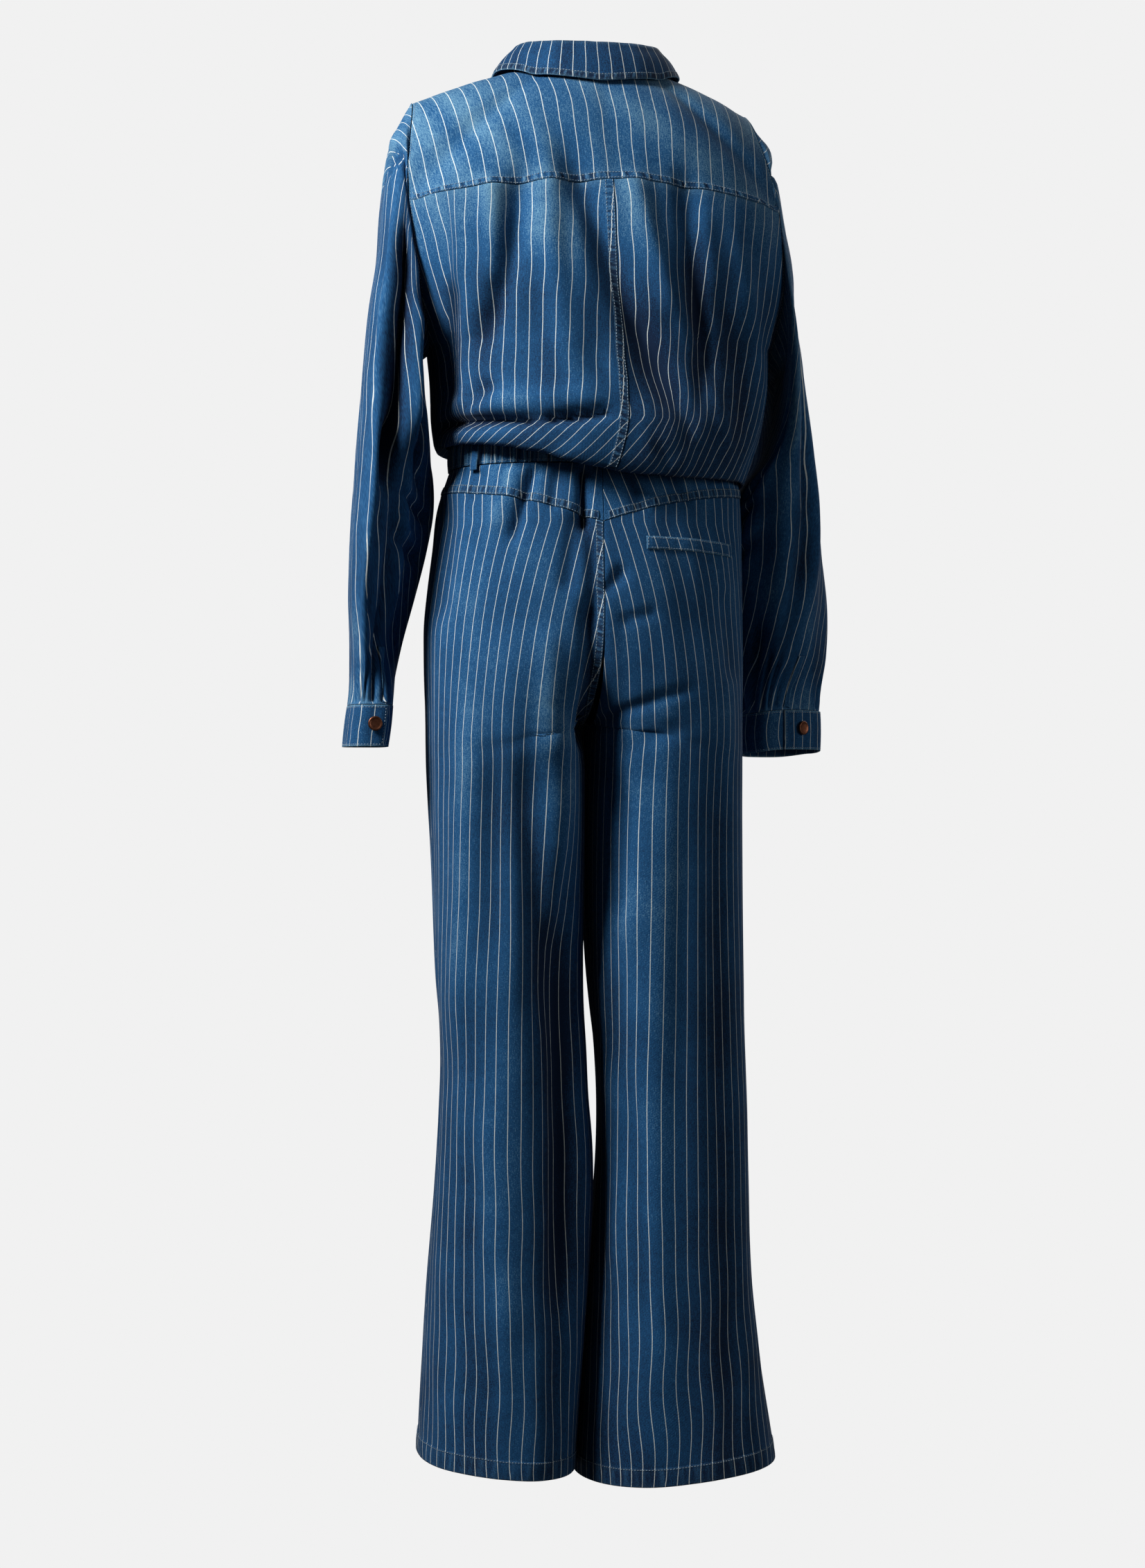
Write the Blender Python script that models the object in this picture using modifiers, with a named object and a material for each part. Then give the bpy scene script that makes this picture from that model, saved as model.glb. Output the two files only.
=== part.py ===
"""A long-sleeved, wide-leg denim jumpsuit in the form it has when worn, hollow inside.

Units are metres, +Z is up. The front faces -Y and the wearer's left is +X. The origin is at
the base of the neck, between the shoulders, and a drop is a depth below it.

Every panel is an open grid of points, worked out from the section tables below, that a
Solidify modifier turns into a wall. What lies on a panel is made from that panel's points.
"""

import math

import bpy
import numpy as np
from mathutils import Vector

# ------------------------------------------------------------------ driving dimensions
WALL = 0.0016            # denim panel, wall through
THIN_WALL = 0.0012       # narrow strips that lie on a panel
SEAM = 0.00026           # how far a panel's edge stays back from its seam
LIFT = 0.0022            # a strip's mid wall above the mid wall of the panel that it lies on
SLEEVE_CLEAR = 0.0023    # the sleeve head stands this far outside its armhole

ARM_TOP = 0.023          # drop of the shoulder tip
ARM_LOW = 0.280          # drop of the underarm
ARM_BACK = 0.073         # depth of the armhole behind the shoulder line
ARM_FRONT = 0.062        # depth of the armhole in front of it
FRONT_CORNER = -28.0     # angle on the armhole where the yoke meets the front, degrees

YOKE_DROP = 0.119        # yoke seam at the centre back
YOKE_SLANT = 0.016       # how much lower the yoke seam is at the armhole
BIB_DROP = 0.120         # below this the front is read from the body sections

NECK_X = 0.000           # middle of the neck
NECK_HALF = 0.072
NECK_BACK = 0.070
NECK_FRONT = 0.088
NECK_DROP_BACK = -0.004
NECK_DROP_SIDE = -0.014
NECK_DROP_FRONT = 0.070
NECK_AT_FRONT_SEAM = 103.0   # angle round the neck of the yoke's front seam, degrees
NECK_AT_BACK_CORNER = 42.0   # angle round the neck that faces the yoke's back corner

CHEST_DROP = 0.300       # below this the bodice blouses out and turns under
WAIST_SEAM = 0.372       # bodice edge, lapped over the waistband
WAIST_LAP = 0.0066       # how far that edge stands outside the waistband
BAND_TOP = 0.3690
BAND_LOW = 0.3985
HIP_TOP = 0.3994
GATHERS = 40             # gathers round the elastic waistband
GATHER_DEPTH = 0.0010

HIP_SEAM_SIDE = 0.4245   # hip yoke seam at the side
HIP_SEAM_BACK = 0.459    # and at the centre back, where it comes to a point
SPLIT_X = 0.004          # plane between the two trouser halves
RISE_START = 0.560       # the seat seam starts to turn under here
CROTCH = 0.664
THIGH = 0.700            # drop of the side seam that is level with the crotch
HEM = {1: 1.420, -1: 1.431}   # the left leg hangs a little higher than the right
HEM_RISE = 0.012         # how much higher the hem is at the side seam than at the inseam

BACK_SEGMENTS = 8        # columns of a bodice back
BACK_ROWS = (0.0, 0.17, 0.34, 0.51, 0.68, 0.82, 0.93, 1.0)   # yoke seam (0) to underarm (1)
BIB_ROWS = (1.0, 0.75, 0.5, 0.25)                 # front, from its upper edge (1) to BIB_DROP
CHEST_ROWS = (0.0, 0.25, 0.5, 0.72, 0.9, 1.0)     # front, from BIB_DROP (0) to the underarm
YOKE_ROWS = 6            # rows of the yoke, neck to outer edge
HIP_YOKE_ROWS = (0.0, 0.34, 0.67, 1.0)
NECKLINE_SEGMENTS = 6    # columns of a bodice front below the neckline
SHOULDER_SEGMENTS = 4    # and below the shoulder seam
OVER_SEGMENTS = 6        # columns of the yoke over each shoulder
LEG_SEGMENTS = 10        # columns of a trouser panel
HIP_ROWS = 4             # rows of a trouser panel above the turn to the crotch
RISE_ROWS = 6            # rows of that turn
LEG_ROWS = 16            # rows of the leg
SLEEVE_SEGMENTS = 16
SLEEVE_ROWS = 17
SLEEVE_PER_DEGREE = 0.0012   # cloth round the sleeve for one degree
SLEEVE_PER_ROW = 0.050   # cloth down the sleeve for one row of its table

FULL = 2.3               # how square a body section is: 2 is an ellipse
BIB_BEND = 0.45          # share of the front where the neckline meets the shoulder seam
BIB_CROWN = 0.008        # how far the front stands out between neckline and chest
BIB_CROWN_WAY = np.array([0.0, -0.80, 0.60])   # the way in which the front is crowned there
YOKE_CROWN_WAY = np.array([0.0, 0.95, 0.30])   # and the yoke
YOKE_CROWN_TOP = 0.020   # crown over the shoulder, and at the centre back
YOKE_CROWN_BACK = 0.011

CUFF_HEIGHT = 0.0420
CUFF_GAP = 0.0006        # between the sleeve's lower edge and the cuff
CUFF_WRAP = 398.0        # degrees round the wrist, so the ends overlap
CUFF_SEGMENTS = 26       # columns of the cuff along that
CUFF_LAP = 0.0024        # how far the outer end stands above the inner one
CUFF_LAP_LEVEL = 45.0    # degrees of the outer end that stand so far off
CUFF_LAP_FADE = 40.0     # and degrees over which it comes down to the wrist
CUFF_BUTTON_DOWN = 0.48  # place of the button down the cuff, as a share of its height
FACING_STEP = 0.020      # a point so far out of the cuff tells which way its button faces
CUFF_TABS = {1: (140.0, 110.0), -1: (19.0, 0.0)}   # tab edge and button, degrees
SLIT_LENGTH = 0.062      # sleeve slit above the cuff
SLIT_TURN = 4.0          # the slit lies this far back from the tab's edge, degrees
SLIT_HALF = 0.36         # half of its binding's width, in columns of the sleeve
SLIT_END = 0.0022        # the binding ends this far above the sleeve's lower edge

COLLAR_END = 176.0       # the collar ends this far round the neck, degrees
COLLAR_STAND_BACK = 0.0270
COLLAR_STAND_SIDE = 0.0230
COLLAR_STAND_FRONT = 0.0040
COLLAR_FALL_BACK = 0.0240
COLLAR_FALL_FRONT = 0.0520
COLLAR_SPREAD = 0.0170   # how far the collar's points stand apart from the centre
COLLAR_OFF_BACK = 0.0042     # how far its edge stands off the yoke
COLLAR_OFF_FRONT = 0.0062    # and off the fronts
COLLAR_OFF_MORE = 0.0060     # and how much further in front of the shoulder seam
COLLAR_HIGH_AT = 118.0   # where it stands off most, degrees round the neck
COLLAR_HIGH_WIDE = 50.0  # and how far to both sides that reaches
COLLAR_FRONT_FROM = 95.0     # the collar lies down from here to the front, degrees
COLLAR_FRONT_WIDE = 80.0
COLLAR_SPREAD_FROM = 125.0   # its points spread from here, degrees
COLLAR_SPREAD_WIDE = 50.0
COLLAR_FALL_ROWS = (0.35, 0.70, 1.00)
COLLAR_BOW = 0.0022      # how far the fall bows out between fold and edge

BUTTON_WIDTH = 0.015
BUTTON_THICK = 0.0026
POST_WIDTH = 0.0064
POST_HEIGHT = 0.0016
FRONT_BUTTON_DROPS = (0.101, 0.157, 0.213, 0.269, 0.325)
WAIST_BUTTON_DROP = 0.3895
BUTTON_GAP = 0.0004      # between a button's post and the cloth
NECK_SEAM = 0.0013       # how far panels stay back from the collar's seam
BAND_HALF = 1.10         # half of the front band's width, in columns of the front panel
FLY_HALF = 0.72          # half of the fly band's width, in columns of the trouser front
STRIP_START = 0.2        # the front strips start this far below a panel's edge, in its rows

LOOP_WIDTH = 0.009
LOOP_SHARES = ((1, "back", 0.68), (-1, "back", 0.68), (1, "front", 0.42), (-1, "front", 0.42))
WELT_IN_X = 0.0385       # back pocket's welt: inner and outer end, drops, height
WELT_OUT_X = 0.1290
WELT_DROPS = (0.4735, 0.4770)
WELT_HEIGHT = 0.0130
WELT_LIFT = 0.0027
WELT_BEND_CLEAR = 0.15   # least distance of its ends from a bend of the panel, in columns

# Collar above the neck seam: a share of the stand, what is added to it, and offsets out from
# the neck and down along the cloth.
COLLAR_FOLD = np.array([
    (0.00, .0000, .0000, .0000),
    (0.50, .0000, -.0006, .0000),
    (0.95, .0000, -.0004, .0000),
    (1.00, .0034, .0000, .0030),
    (1.00, .0004, .0000, .0078),
], dtype=[(name, "f8") for name in ("stand", "up", "out", "along")])

# Turned cap of a button, from its middle to its underside: shares of half the width and of
# the thickness.
BUTTON_CAP = np.array([
    (0.00, 0.885),
    (0.72, 0.885),
    (0.86, 1.000),
    (1.00, 0.500),
    (0.90, 0.000),
], dtype=[(name, "f8") for name in ("radius", "height")])

# Belt loop: drops, and how far it stands off the waistband's sections.
LOOP_PROFILE = np.array([
    (.3762, .0032),
    (.3790, .0042),
    (.3900, .0046),
    (.4005, .0045),
    (.4045, .0034),
], dtype=[(name, "f8") for name in ("drop", "off")])

# Body sections: outer edges to the left and right (armhole seam above the underarm, side
# seam below it), the centre seam, and the depths of back and front.
BODY = np.array([
    (0.020, .182, .164, -.002, .100, -.070),
    (0.070, .190, .174, -.003, .118, -.090),
    (0.120, .194, .1855, -.005, .129, -.106),
    (0.170, .189, .192, -.007, .137, -.120),
    (0.230, .178, .194, -.010, .142, -.131),
    (0.280, .165, .188, -.013, .143, -.133),
    (0.320, .162, .1855, -.015, .146, -.132),
    (0.350, .161, .181, -.017, .152, -.131),
    (0.380, .158, .172, -.013, .153, -.128),
    (0.420, .154, .160, -.004, .147, -.123),
], dtype=[(name, "f8") for name in ("drop", "left", "right", "centre", "back", "front")])

# Lowest point of the blouse's roll, by place across the body (wearer's right to left).
ROLL = np.array([
    (-.170, .412),
    (-.080, .414),
    (.000, .408),
    (.060, .394),
    (.100, .385),
    (.165, .377),
], dtype=[("x", "f8"), ("drop", "f8")])

# The blouse below the chest: fall goes from the chest (0) to the roll's lowest point (1),
# reach from the waist (0) to the body's own outline (1).
BLOUSE = np.array([
    (0.30, 1.00),
    (0.58, 1.00),
    (0.80, 0.97),
    (0.94, 0.91),
    (1.00, 0.77),
    (0.97, 0.63),
], dtype=[("fall", "f8"), ("reach", "f8")])

# Waist, hips and the legs' outer edges, with the depths of back and front.
LOWER = np.array([
    (0.369, .139, .154, .004, .111, -.104),
    (0.399, .142, .156, .004, .113, -.106),
    (0.425, .152, .159, .004, .118, -.109),
    (0.460, .157, .160, .004, .124, -.112),
    (0.500, .162, .160, .004, .130, -.113),
    (0.550, .168, .161, .004, .133, -.112),
    (0.600, .168, .161, .004, .128, -.109),
    (0.650, .166, .160, .004, .118, -.106),
    (0.700, .165, .160, .004, .110, -.104),
    (0.800, .160, .161, .004, .101, -.101),
    (0.930, .155, .163, .004, .094, -.098),
    (0.985, .151, .164, .004, .091, -.096),
    (1.035, .152, .166, .004, .090, -.095),
    (1.135, .157, .168, .004, .091, -.096),
    (1.235, .165, .171, .004, .096, -.099),
    (1.335, .171, .183, .004, .104, -.102),
    (1.430, .177, .197, .004, .111, -.105),
], dtype=[(name, "f8") for name in ("drop", "left", "right", "centre", "back", "front")])

# Inner edges of the legs; the right one's is counted to the right.
INSIDE = np.array([
    (0.700, .0062, -.0022),
    (0.800, .0062, -.0022),
    (0.870, .0062, .0000),
    (0.930, .0066, .0036),
    (0.985, .0036, .0094),
    (1.035, .0014, .0130),
    (1.085, -.0028, .0136),
    (1.135, -.0042, .0110),
    (1.235, .0010, .0030),
    (1.335, .0095, -.0058),
    (1.430, .0170, -.0132),
], dtype=[(name, "f8") for name in ("drop", "left", "right")])

SLEEVE_COLUMNS = ("out_x", "out_drop", "in_x", "in_drop", "mid_y", "half_depth", "twist")

# Sleeve sections: the upper and the under fold of the sleeve, the middle and half of its
# depth, and its turn in degrees. The left sleeve hangs straight, and is seen on its edge.
SLEEVE_LEFT = np.array([
    (.2040, .067, .1770, .290, .002, .077, 0),
    (.2125, .126, .1765, .303, .003, .079, 0),
    (.2160, .177, .1750, .319, .005, .080, 0),
    (.2240, .227, .1735, .338, .007, .080, 0),
    (.2295, .278, .1705, .359, .008, .080, 0),
    (.2335, .328, .1660, .384, .010, .079, 0),
    (.2375, .378, .1615, .412, .010, .078, 0),
    (.2415, .429, .1615, .444, .010, .076, 0),
    (.2445, .479, .1685, .484, .008, .072, 0),
    (.2460, .530, .1805, .532, .004, .066, 0),
    (.2435, .580, .1930, .580, -.002, .058, 0),
    (.2445, .626, .2015, .626, -.007, .050, 0),
    (.2460, .640, .2030, .640, -.008, .0475, 0),
], dtype=[(name, "f8") for name in SLEEVE_COLUMNS])

# The right sleeve hangs a little forward, and turns so that the cuff shows its broad side.
SLEEVE_RIGHT = np.array([
    (.1850, .067, .2015, .290, .000, .076, 0),
    (.1970, .126, .2015, .303, -.003, .078, 0),
    (.2035, .177, .2010, .319, -.006, .079, 0),
    (.2105, .227, .2000, .338, -.010, .079, 0),
    (.2185, .278, .1970, .359, -.016, .078, 0),
    (.2300, .328, .1900, .384, -.024, .076, 2),
    (.2430, .378, .1800, .412, -.034, .073, 5),
    (.2545, .429, .1710, .444, -.044, .070, 10),
    (.2635, .479, .1700, .484, -.054, .066, 18),
    (.2675, .530, .1760, .533, -.064, .061, 30),
    (.2640, .582, .1850, .584, -.073, .055, 42),
    (.2550, .626, .1960, .632, -.080, .049, 52),
    (.2540, .641, .2000, .649, -.082, .0470, 55),
], dtype=[(name, "f8") for name in SLEEVE_COLUMNS])

SLEEVES = {1: SLEEVE_LEFT, -1: SLEEVE_RIGHT}

# Largest folds of the back, as lines on the cloth seen from behind: place across and drop
# of both ends, half width, and depth (positive stands out, negative is a trough).
BACK_FOLDS = np.array([
    (.160, .350, .085, .349, .009, -.010),
    (.085, .349, -.012, .343, .008, -.007),
    (.100, .130, .050, .230, .014, -.004),
    (.085, .120, .020, .330, .016, .004),
    (-.085, .150, -.100, .270, .014, -.004),
    (-.125, .160, -.150, .360, .015, .004),
    (-.020, .180, -.090, .380, .018, .004),
    (.016, .402, .008, .470, .007, -.006),
    (.078, .400, .068, .450, .008, -.004),
    (-.035, .640, -.110, .585, .010, -.005),
    (-.025, .662, -.090, .640, .010, .004),
    (.040, .560, .030, .700, .014, .004),
    (.120, .800, .110, 1.400, .016, .004),
    (.060, .760, .075, 1.420, .018, -.004),
    (-.060, .760, -.050, 1.420, .018, .004),
    (-.110, .900, -.120, 1.420, .016, -.004),
], dtype=[(name, "f8") for name in ("x0", "drop0", "x1", "drop1", "width", "depth")])

# Largest folds of a sleeve: angle round it and row of its table at both ends.
SLEEVE_FOLDS = np.array([
    (100, 6.6, 175, 7.4, .010, -.004),
    (95, 7.6, 165, 8.3, .011, -.0035),
    (95, 1.2, 80, 6.0, .012, -.006),
    (50, 1.0, 40, 6.5, .014, .003),
    (120, 3.0, 110, 9.5, .012, .003),
    (-60, 2.0, -70, 8.0, .014, -.004),
    (-110, 6.8, -170, 7.6, .010, -.004),
    (90, 10.0, 88, 11.9, .005, -.003),
    (55, 10.2, 52, 11.9, .005, -.003),
    (-80, 10.0, -82, 11.9, .005, -.003),
], dtype=[(name, "f8") for name in ("angle0", "row0", "angle1", "row1", "width", "depth")])

FOLD_FADE = 0.25         # share of a fold's length over which each end fades out
FOLD_END = 0.25          # share of its depth that is left at the end itself, before easing
FOLD_EDGE_ROWS = 2.0     # folds grow to their depth over this many rows from a seam
FOLD_BEHIND = 0.04       # and over this depth behind the side seams

# Colour as linear RGB, roughness, metallic.
DENIM = ("denim", (0.030, 0.085, 0.190), 0.85, 0.0)
DENIM_WASHED = ("denim_washed", (0.075, 0.160, 0.290), 0.85, 0.0)
COPPER = ("copper_shank", (0.300, 0.120, 0.070), 0.35, 1.0)


# ------------------------------------------------------------------ reading the tables
def smooth(table, column, at, key="drop"):
    """Read a column of a table on a smooth curve through its rows."""
    places = table[key]
    values = table[column]
    at = np.clip(np.asarray(at, float), places[0], places[-1])
    slopes = np.gradient(values, places)
    row = np.clip(np.searchsorted(places, at, side="right") - 1, 0, len(places) - 2)
    span = places[row + 1] - places[row]
    t = (at - places[row]) / span
    return ((2 * t**3 - 3 * t**2 + 1) * values[row] + (t**3 - 2 * t**2 + t) * span * slopes[row]
            + (3 * t**2 - 2 * t**3) * values[row + 1] + (t**3 - t**2) * span * slopes[row + 1])


def mix(first, second, share):
    """Blend two values or arrays of points."""
    return first + (second - first) * share


def ease(share):
    """A smooth step from 0 to 1."""
    share = np.clip(share, 0.0, 1.0)
    return share * share * (3.0 - 2.0 * share)


def points(x, y, z):
    """Join coordinates of any matching shapes into one array of points."""
    x, y, z = np.broadcast_arrays(x, y, z)
    return np.stack([x, y, z], axis=-1)


# ------------------------------------------------------------------ body surfaces
def armhole(side, angle):
    """A point of the armhole: 0 degrees is the shoulder tip, 90 the back, 180 the underarm."""
    turn = np.radians(angle)
    drop = ARM_TOP + (ARM_LOW - ARM_TOP) * (1.0 - np.cos(turn)) / 2.0
    depth = np.where(np.sin(turn) > 0.0, ARM_BACK, ARM_FRONT)
    x = side * smooth(BODY, "left" if side > 0 else "right", drop)
    return points(x, depth * np.sin(turn), -drop)


def armhole_angle(drop):
    """The back half's armhole angle at a drop."""
    level = 1.0 - 2.0 * (drop - ARM_TOP) / (ARM_LOW - ARM_TOP)
    return np.degrees(np.arccos(np.clip(level, -1.0, 1.0)))


def section(half_x, half_y, direction):
    """A rounded section's point in a direction, 0 along half_y and 90 degrees along half_x."""
    across = np.sin(direction)
    along = np.cos(direction)
    reach = (np.abs(across / half_x) ** FULL + np.abs(along / half_y) ** FULL) ** (-1.0 / FULL)
    return reach * across, reach * along


def body(side, face, share, drop):
    """The bodice's surface from its centre seam (share 0) to its armhole or side seam (1)."""
    share, drop = np.broadcast_arrays(np.asarray(share, float), np.asarray(drop, float))
    centre = smooth(BODY, "centre", drop)
    edge_x = np.abs(side * smooth(BODY, "left" if side > 0 else "right", drop) - centre)
    half_y = np.abs(smooth(BODY, face, drop))
    depth = ARM_BACK if face == "back" else ARM_FRONT
    edge_y = depth * np.sin(np.radians(armhole_angle(drop)))
    half_x = edge_x / (1.0 - (edge_y / half_y) ** FULL) ** (1.0 / FULL)
    x, y = section(half_x, half_y, share * np.arctan2(edge_x, edge_y))
    return points(centre + side * x, y if face == "back" else -y, -drop)


def ring(table, side, face, share, drop, grow=0.0):
    """A closed section's quarter from the centre (share 0) to the side (1)."""
    centre = smooth(table, "centre", drop)
    half_x = np.abs(side * smooth(table, "left" if side > 0 else "right", drop) - centre) + grow
    half_y = np.abs(smooth(table, face, drop)) + grow
    x, y = section(half_x, half_y, np.asarray(share) * math.pi / 2.0)
    return points(centre + side * x, y if face == "back" else -y, -np.asarray(drop, float))


def blouse(side, face, share):
    """Rows of the bodice below the chest: out, down, under and back up to the waist seam."""
    rows = []
    for fall, reach in BLOUSE:
        spread = body(side, face, share, CHEST_DROP)[..., 0]
        low = smooth(ROLL, "drop", spread, key="x")
        drop = mix(CHEST_DROP, low, fall)
        outer = body(side, face, share, drop)
        inner = ring(LOWER, side, face, share, drop)
        inner[..., 2] = outer[..., 2]
        rows.append(mix(inner, outer, reach))
    edge = ring(LOWER, side, face, share, np.full_like(share, WAIST_SEAM), WAIST_LAP)
    rows.append(edge)
    return rows


def neck(angle):
    """A point of the neck seam: 0 degrees is the centre back, 90 the left side."""
    turn = np.radians(angle)
    behind = np.cos(turn) > 0.0
    depth = np.where(behind, NECK_BACK, NECK_FRONT)
    middle = np.where(behind, NECK_DROP_BACK, NECK_DROP_FRONT)
    drop = NECK_DROP_SIDE + (middle - NECK_DROP_SIDE) * np.cos(turn) ** 2
    return points(NECK_X + NECK_HALF * np.sin(turn), depth * np.cos(turn), -drop)


def front_shares():
    """Columns of a bodice front, from the centre front (0) to the armhole (1)."""
    return np.concatenate([np.linspace(0.0, BIB_BEND, NECKLINE_SEGMENTS + 1),
                           np.linspace(BIB_BEND, 1.0, SHOULDER_SEGMENTS + 1)[1:]])


def neck_columns():
    """Angles round the neck at which the panels below it have their columns."""
    behind = np.linspace(0.0, NECK_AT_BACK_CORNER, BACK_SEGMENTS // 2 + 1)
    over = np.linspace(NECK_AT_BACK_CORNER, NECK_AT_FRONT_SEAM, OVER_SEGMENTS + 1)
    before = np.linspace(NECK_AT_FRONT_SEAM, 180.0, NECKLINE_SEGMENTS + 1)
    return np.concatenate([behind, over[1:], before[1:]])


def neck_edge(angle):
    """A point of the neck seam as the panels have it, straight between their columns."""
    columns = neck_columns()
    seam = neck((1.0 if angle >= 0.0 else -1.0) * columns)
    return np.array([np.interp(abs(angle), columns, seam[:, axis]) for axis in range(3)])


def yoke_seam_drop(share):
    """The back yoke seam's drop, from the centre back (0) to the armhole (1)."""
    return YOKE_DROP + YOKE_SLANT * np.asarray(share) ** 2


# ------------------------------------------------------------------ panels as grids
def back_grid(side):
    """Back of the bodice: rows from the yoke seam down to the waist seam."""
    share = np.linspace(0.0, 1.0, BACK_SEGMENTS + 1)
    top = yoke_seam_drop(share)
    rows = [body(side, "back", share, mix(top, ARM_LOW, f))
            for f in BACK_ROWS]
    rows.append(body(side, "back", share, CHEST_DROP))
    rows += blouse(side, "back", share)
    return np.array(rows)


def front_top(side, share):
    """The front panel's upper edge: up the neckline, then out along the shoulder seam."""
    around = mix(180.0, NECK_AT_FRONT_SEAM, np.minimum(share / BIB_BEND, 1.0))
    neckline = neck(side * around)
    shoulder = mix(neck(side * NECK_AT_FRONT_SEAM), armhole(side, FRONT_CORNER),
                   np.clip((share - BIB_BEND) / (1.0 - BIB_BEND), 0.0, 1.0)[:, None])
    return np.where((share <= BIB_BEND)[:, None], neckline, shoulder)


def front_grid(side):
    """Front of the bodice: rows from the neckline and shoulder down to the waist seam."""
    share = front_shares()
    top = front_top(side, share)
    join = body(side, "front", share, np.full_like(share, BIB_DROP))
    bib_angle = -armhole_angle(BIB_DROP)
    rows = []
    for up in BIB_ROWS:
        row = mix(join, top, up)
        crown = 4.0 * up * (1.0 - up) * BIB_CROWN
        row += crown * BIB_CROWN_WAY * (1.0 - share**2)[:, None]
        edge = armhole(side, mix(bib_angle, FRONT_CORNER, up))
        row += (share**3)[:, None] * (edge - row[-1])
        rows.append(row)
    rows += [body(side, "front", share, mix(BIB_DROP, ARM_LOW, np.full_like(share, f)))
             for f in CHEST_ROWS]
    rows.append(body(side, "front", share, CHEST_DROP))
    rows += blouse(side, "front", share)
    return np.array(rows)


def yoke_grid():
    """Yoke: columns run from the left front seam over the back to the right front seam."""
    outer, inner, crown = [], [], []
    corner = float(armhole_angle(yoke_seam_drop(1.0)))
    for side in (1, -1):
        over = np.linspace(0.0, 1.0, OVER_SEGMENTS + 1)[:-1]
        angle = mix(FRONT_CORNER, corner, over)
        share = np.linspace(1.0, 0.0, BACK_SEGMENTS + 1)
        outer_half = np.concatenate([armhole(side, angle),
                                     body(side, "back", share, yoke_seam_drop(share))])
        neck_angle = np.concatenate([mix(NECK_AT_FRONT_SEAM, NECK_AT_BACK_CORNER, over),
                                     NECK_AT_BACK_CORNER * share])
        crown_half = np.concatenate([YOKE_CROWN_TOP * ease(over),
                                     mix(YOKE_CROWN_BACK, YOKE_CROWN_TOP, share)])
        if side < 0:
            outer_half = outer_half[-2::-1]
            neck_angle = neck_angle[-2::-1]
            crown_half = crown_half[-2::-1]
        outer.append(outer_half)
        inner.append(neck(side * neck_angle))
        crown.append(crown_half)
    outer, inner, crown = (np.concatenate(part) for part in (outer, inner, crown))
    rows = []
    for down in np.linspace(0.0, 1.0, YOKE_ROWS):
        lift = (4.0 * down * (1.0 - down) * crown)[:, None] * YOKE_CROWN_WAY
        rows.append(mix(inner, outer, down) + lift)
    return np.array(rows)


def sleeve_section(table, side, row, angle, grow=0.0):
    """A point of the sleeve at a row of its table (whole or between rows)."""
    rows = np.arange(len(table))
    places = {name: np.interp(row, rows, table[name]) for name in SLEEVE_COLUMNS}
    turn = np.radians(angle)
    half_x = (places["out_x"] - places["in_x"]) / 2.0 + grow
    half_z = (places["out_drop"] - places["in_drop"]) / 2.0
    twist = np.radians(places["twist"])
    across = half_x * np.cos(turn)
    along = (places["half_depth"] + grow) * np.sin(turn)
    x = (places["out_x"] + places["in_x"]) / 2.0 + across * np.cos(twist) - along * np.sin(twist)
    y = places["mid_y"] + across * np.sin(twist) + along * np.cos(twist)
    drop = (places["out_drop"] + places["in_drop"]) / 2.0 + half_z * np.cos(turn)
    return points(side * x, y, -drop)


def sleeve_grid(side):
    """Sleeve: rows from the armhole down to the cuff, columns all round."""
    table = SLEEVES[side]
    angle = np.linspace(0.0, 360.0, SLEEVE_SEGMENTS + 1)
    head = armhole(side, np.where(angle > 180.0, angle - 360.0, angle))
    head[:, 0] += side * SLEEVE_CLEAR
    rows = np.linspace(0.0, len(table) - 1.0, SLEEVE_ROWS)
    grid = np.array([head] + [sleeve_section(table, side, row, angle) for row in rows])
    around = np.where(angle > 180.0, angle - 360.0, angle)
    flat = np.zeros(grid.shape[:2] + (2,))
    flat[..., 0] = around * SLEEVE_PER_DEGREE
    flat[..., 1] = (np.concatenate([[-1.0], rows]) * SLEEVE_PER_ROW)[:, None]
    folds = [(np.array([row["angle0"] * SLEEVE_PER_DEGREE, row["row0"] * SLEEVE_PER_ROW]),
              np.array([row["angle1"] * SLEEVE_PER_DEGREE, row["row1"] * SLEEVE_PER_ROW]),
              row["width"], row["depth"]) for row in SLEEVE_FOLDS]
    calm = np.ones(grid.shape[:2])
    calm[:2] = 0.0
    calm[-1] = 0.0
    return press(grid, flat, folds, calm)


def cuff_grid(side):
    """Cuff: a strip wound round the wrist, its outer end lapped over the inner one."""
    table = SLEEVES[side]
    wound = np.linspace(0.0, CUFF_WRAP, CUFF_SEGMENTS + 1)
    lapped = CUFF_LAP * (1.0 - ease((wound - CUFF_LAP_LEVEL) / CUFF_LAP_FADE))
    rows = []
    for down in (0.0, 0.5, 1.0):
        row = sleeve_section(table, side, len(table) - 1.0, CUFF_TABS[side][0] - wound, lapped)
        row[:, 2] -= CUFF_GAP + down * CUFF_HEIGHT
        rows.append(row)
    return np.array(rows)


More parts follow.
